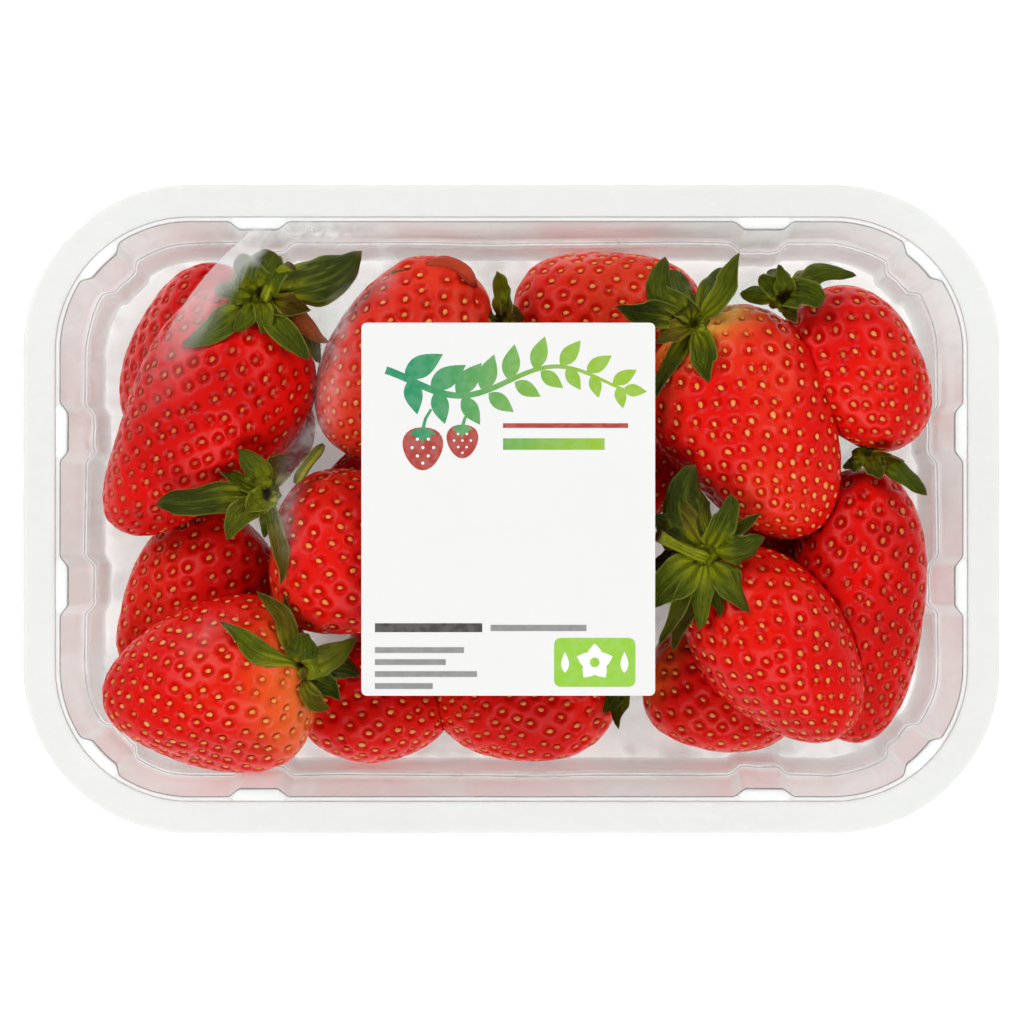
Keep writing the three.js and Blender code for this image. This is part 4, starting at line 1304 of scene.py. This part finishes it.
def filmPart():
    length, width = tray["length"] - 2 * film["trim"], tray["width"] - 2 * film["trim"]
    radius, step = tray["cornerRadius"] - film["trim"], film["step"]
    outline = roundedOutline(length, width, radius, step)
    rimRing = roundedOutline(length - 0.3, width - 0.3, radius - 0.15, step)
    inner = roundedOutline(length - 2 * step, width - 2 * step, radius - step, step)
    folds = creasePoints()
    places = np.concatenate([outline, rimRing, inner, filmGrid(length, width, radius, folds), folds])
    flat, triangles = triangulate(places, 1e-5)
    x, y = flat[:, 0], flat[:, 1]
    z = filmHeight(x, y)
    top, under = np.column_stack([flat, z + film["thickness"]]), np.column_stack([flat, z])
    count, rim = len(flat), len(outline)
    faces = triangles + [(count + a, count + c, count + b) for a, b, c in triangles]
    faces += [(k, count + k, count + (k + 1) % rim) for k in range(rim)]
    faces += [(k, count + (k + 1) % rim, (k + 1) % rim) for k in range(rim)]
    bandEdge, bandShare = filmBand(x, y)
    values = {"mistAndGlare": np.concatenate([filmMistAndGlare(x, y), np.zeros(count)]),
              "bandEdge": np.tile(bandEdge, 2), "bandShare": np.concatenate([bandShare, np.zeros(count)])}
    return {"points": np.concatenate([top, under]) * mm, "faces": faces, "values": values}


def filmMaterial():
    material, tree, output = newMaterial("filmPlastic")
    cloud = mapRange(tree, noise(tree, objectPlace(tree), 420.0, 2.0), 0.34, 0.66, 0.45, 1.4)
    # white haze: the mist patches, partly painted glare, and the band of painted glare
    mistAndGlare = times(tree, attribute(tree, "mistAndGlare"), cloud)
    rim = mapRange(tree, attribute(tree, "bandEdge"), -0.1, 0.25)
    haze = math2(tree, "ADD", mistAndGlare, times(tree, rim, attribute(tree, "bandShare")))
    waves = placeGroup(tree, grain, Wave_Scale=60.0, Grain_Scale=260.0, Grain=0.25)
    normal = bumped(tree, waves["Height"], 0.15, 0.0005)
    plasticShader(tree, output, filmLook, haze, 0.0, normal)
    return material


addPiece("filmLid", filmPart(), [filmMaterial()], ["film"])
print("film built")

# In mm. Each ink has a colour at the label's left and, where it fades, one at its right
label = {
    "width": 56.4, "height": 71.6, "thickness": 0.12, "radius": 1.0, "x": -0.6, "bottom": 50.11,
    "inkSunk": 0.02, "inkThickness": 0.03, "inkStep": 0.0004,
    "inks": {
        "sprig": ((0.008, 0.27, 0.12), (0.30, 0.52, 0.03)), "berry": ((0.42, 0.045, 0.035),),
        "lime": ((0.30, 0.60, 0.045),), "grey": ((0.27, 0.27, 0.27),), "dark": ((0.06, 0.055, 0.055),),
        "white": ((0.93, 0.93, 0.92),),
    },
    "sprig": {"from": -23.5, "to": 22.5, "y": 24.6, "sway": 2.8, "pace": 0.17, "leafGap": 5.0},
    "berries": ((-16.4, 11.6, 1.15), (-8.8, 13.0, 0.9)),  # place and size
    "rules": {"berry": ((-1.0, 15.6, 23.0, 16.5),), "sprig": ((-1.0, 11.4, 18.5, 13.6),),
              "dark": ((-25.6, -23.6, -5.0, -21.9),), "grey": ((-3.4, -23.4, 15.0, -22.2),)},
    "smallRules": {"from": -25.6, "to": (-8.5, -12.0, -6.0, -14.5), "y": -27.6, "height": 1.1, "gap": 2.3},
    "field": {"x": 16.6, "y": -29.4, "width": 15.6, "height": 9.4},
}


# A closed flat plate over an outline given in label millimetres
def platePart(outline, bottom, thickness):
    outline = np.asarray(outline, float)
    area = np.sum(outline[:, 0] * np.roll(outline[:, 1], -1) - outline[:, 1] * np.roll(outline[:, 0], -1))
    if area < 0:
        outline = outline[::-1]
    count = len(outline)
    flat = outline + (label["x"], 0)
    top = np.column_stack([flat, np.full(count, bottom + thickness)])
    under = np.column_stack([flat, np.full(count, bottom)])
    faces = [tuple(range(count)), tuple(range(2 * count - 1, count - 1, -1))]
    faces += [(k, count + k, count + (k + 1) % count, (k + 1) % count) for k in range(count)]
    return {"points": np.concatenate([top, under]) * mm, "faces": faces, "values": {}, "smooth": False}


def paperMaterial():
    material, tree, output = newMaterial("labelPaper")
    paper = placeGroup(tree, mottle, Base=(0.83, 0.83, 0.82, 1), Drift=(0.81, 0.81, 0.80, 1),
                       Patch_Scale=45.0, Fleck_Scale=1400.0, Amount=0.4)
    fibre = placeGroup(tree, grain, Wave_Scale=420.0, Grain_Scale=2600.0, Grain=0.8)["Height"]
    principled(tree, output, Base_Color=paper["Color"], Roughness=mapRange(tree, fibre, 0.3, 1.2, 0.42, 0.56),
               Normal=bumped(tree, fibre, 0.15, 0.00006))
    return material


def inkMaterial(name, near, far=None):
    material, tree, output = newMaterial(name + "Ink")
    shade = (*near, 1)
    if far:
        across = addNode(tree, "SeparateXYZ", Vector=objectPlace(tree)).outputs["X"]
        shade = mixColour(tree, mapRange(tree, across, -0.024, 0.022), near, far)
    ink = placeGroup(tree, mottle, Base=shade, Drift=(0.75, 0.78, 0.72, 1),
                     Patch_Scale=600.0, Fleck_Scale=4200.0, Amount=0.07)
    principled(tree, output, Base_Color=ink["Color"],
               Roughness=mapRange(tree, ink["Mask"], 0.0, 0.2, 0.4, 0.55))
    return material


def petalOutline(cx, cy, angle, length, width, points=9):
    outline = []
    for k in range(2 * points):
        t = k / points if k < points else 2 - k / points
        sideways = width / 2 * math.sin(math.pi * t ** 0.8) * (1 if k < points else -1)
        outline.append((cx + length * t * math.cos(angle) - sideways * math.sin(angle),
                        cy + length * t * math.sin(angle) + sideways * math.cos(angle)))
    return outline


def strip(points, widths):
    points = np.array(points, float)
    ways = unit(np.gradient(points, axis=0))
    normals = np.column_stack([-ways[:, 1], ways[:, 0]]) * np.array(widths)[:, None] / 2
    return np.concatenate([points + normals, (points - normals)[::-1]])


def bar(x0, y0, x1, y1):
    return [(x0, y0), (x1, y0), (x1, y1), (x0, y1)]


def disc(cx, cy, radius, count=20):
    return [(cx + radius * math.cos(fullTurn * k / count), cy + radius * math.sin(fullTurn * k / count))
            for k in range(count)]


def sprigShapes():
    # a stem with paired leaves swings across the top, with one more leaf near its end
    sprig = label["sprig"]
    y, sway, pace = sprig["y"], sprig["sway"], sprig["pace"]
    xs = np.linspace(sprig["from"], sprig["to"], 40)
    shapes = [strip(np.column_stack([xs, y + sway * np.sin(xs * pace)]), np.linspace(1.5, 0.5, 40))]
    for x in np.arange(-20.0, 20.5, sprig["leafGap"]):
        stem = y + sway * math.sin(x * pace)
        slope = math.atan(sway * pace * math.cos(x * pace))
        size = 8.6 - 0.08 * (x + 20)
        shapes.append(petalOutline(x, stem + 0.2, slope + 0.95, size, size * 0.5))
        shapes.append(petalOutline(x + 1.2, stem - 0.2, slope - 0.95, size * 0.82, size * 0.42))
    shapes.append(petalOutline(22.0, y + sway * math.sin(22.0 * pace), -0.1, 4.6, 2.4))
    return [("sprig", shape) for shape in shapes]


def berryShapes(cx, cy, size):
    turns = np.linspace(0.02, math.pi - 0.02, 14)
    outline = [(cx + size * 3.3 * math.sin(t) ** 0.9 * (1 + 0.25 * math.cos(t)) * side,
                cy + size * 3.6 * math.cos(t)) for side in (1, -1) for t in turns[::side]]
    shapes = [("berry", outline)]
    crown = cy + size * 3.2
    for k in range(5):
        shapes.append(("sprig", petalOutline(cx, crown, math.radians(-160 + 35 * k), size * 2.4, size * 1.0)))
    stem = [(cx, crown), (cx + 0.5, cy + size * 5.0), (cx + 1.6, cy + size * 6.6)]
    shapes.append(("sprig", strip(stem, [0.7, 0.6, 0.5])))
    for row, count in ((1.6, 2), (0.2, 3), (-1.2, 2), (-2.4, 1)):
        for k in range(count):
            seedX = cx + size * (k - (count - 1) / 2) * 1.8
            shapes.append(("white", disc(seedX, cy + size * row, 0.26 * size, 8)))
    return shapes


def ruleShapes():
    shapes = [(ink, bar(*rule)) for ink, rules in label["rules"].items() for rule in rules]
    small = label["smallRules"]
    for row, end in enumerate(small["to"]):
        y = small["y"] - small["gap"] * row
        shapes.append(("grey", bar(small["from"], y, end, y + small["height"])))
    return shapes


def blossomShapes():
    # a blossom between two petals on a lime field
    field = label["field"]
    x, y = field["x"], field["y"]
    shapes = [("lime", roundedOutline(field["width"], field["height"], 1.2, 0.6) + (x, y))]
    shapes += [("white", petalOutline(x, y, math.radians(90 + 72 * k), 3.6, 2.9)) for k in range(5)]
    shapes.append(("lime", disc(x, y, 0.95)))
    shapes += [("white", petalOutline(x + side, y - 2, math.radians(90), 4.0, 1.5)) for side in (-5.7, 5.7)]
    return shapes


def buildLabel():
    outline = roundedOutline(label["width"], label["height"], label["radius"], 4)
    sheet = platePart(outline, label["bottom"], label["thickness"])
    addPiece("labelSheet", sheet, [paperMaterial()], ["label"])
    inks = list(label["inks"])
    shapes = sprigShapes()
    for berry in label["berries"]:
        shapes += berryShapes(*berry)
    shapes += ruleShapes() + blossomShapes()
    bottom = label["bottom"] + label["thickness"] - label["inkSunk"]
    plates, materialOf = [], []
    for number, (ink, shape) in enumerate(shapes):
        # each shape lies a little above the one before
        plates.append(platePart(shape, bottom, label["inkThickness"] + label["inkStep"] * number))
        materialOf += [inks.index(ink)] * len(plates[-1]["faces"])
    printed = {**joinParts(plates), "materialOf": materialOf, "smooth": False}
    addPiece("labelPrint", printed, [inkMaterial(ink, *label["inks"][ink]) for ink in inks])


buildLabel()
print("label printed")

studio = {
    "floorSize": 8.0, "floorDrop": 0.0006,  # metres
    "paper": (0.95, 0.95, 0.95), "paperDrift": (0.925, 0.925, 0.925), "floorGlow": (0.3, 0.95),
    "sky": 0.10, "overhead": 0.01,
    "lampSize": (1.1, 0.825), "lampAim": (0, 0, 0.03),
    "lamps": (((-0.75, 0.65, 0.95), 11.7), ((0.85, 0.45, 1.0), 8.4), ((0.05, -0.95, 0.85), 11.0)),  # watts
}


def addFloor():
    size = studio["floorSize"]
    mesh = bpy.data.meshes.new("floor")
    corners = [(-size, -size, 0), (size, -size, 0), (size, size, 0), (-size, size, 0)]
    mesh.from_pydata(corners, [], [(0, 1, 2, 3)])
    floor = bpy.data.objects.new("floor", mesh)
    floor.location.z = -studio["floorDrop"]
    material, tree, output = newMaterial("floorPaper")
    tone = placeGroup(tree, mottle, Base=(*studio["paper"], 1), Drift=(*studio["paperDrift"], 1),
                      Patch_Scale=3.0, Fleck_Scale=60.0, Amount=0.3)
    # it glows where the lamps fade, so that the backdrop is white out to the horizon
    away = addNode(tree, "VectorMath", {"operation": "LENGTH"}, i0=objectPlace(tree)).outputs["Value"]
    principled(tree, output, Base_Color=tone["Color"], Roughness=0.8, Emission_Color=(1, 1, 1, 1),
               Emission_Strength=mapRange(tree, away, 0.6, 2.0, *studio["floorGlow"]))
    material.cycles.emission_sampling = "NONE"
    mesh.materials.append(material)
    scene.collection.objects.link(floor)


def addSky():
    # dark right above, so that the film doesn't mirror it, and white as a backdrop
    world = bpy.data.worlds.new("studio")
    scene.world = world
    world.use_nodes = True
    tree = world.node_tree
    sky = tree.nodes["Background"]
    sky.inputs["Color"].default_value = (1, 1, 1, 1)
    way = addNode(tree, "TexCoord").outputs["Generated"]
    up = addNode(tree, "SeparateXYZ", Vector=way).outputs["Z"]
    seen = addNode(tree, "LightPath").outputs["Is Camera Ray"]
    light = mapRange(tree, up, 0.90, 0.965, studio["sky"], studio["overhead"])
    tree.links.new(larger(tree, seen, light), sky.inputs["Strength"])


def addLamps():
    for number, (place, watts) in enumerate(studio["lamps"]):
        lamp = bpy.data.lights.new(f"lamp{number}", "AREA")
        lamp.shape = "RECTANGLE"
        lamp.size, lamp.size_y = studio["lampSize"]
        lamp.energy = watts
        holder = bpy.data.objects.new(f"lamp{number}", lamp)
        holder.location = place
        aim = Vector(studio["lampAim"]) - Vector(place)
        holder.rotation_euler = aim.to_track_quat("-Z", "Y").to_euler()
        scene.collection.objects.link(holder)


def setLight():
    scene.view_settings.view_transform = "Standard"
    scene.cycles.use_light_tree = False
    scene.cycles.transparent_max_bounces = 24
    scene.cycles.max_bounces = 4
    scene.cycles.diffuse_bounces = 2
    scene.cycles.glossy_bounces = 2


addFloor()
addSky()
addLamps()
setLight()
print("studio ready")
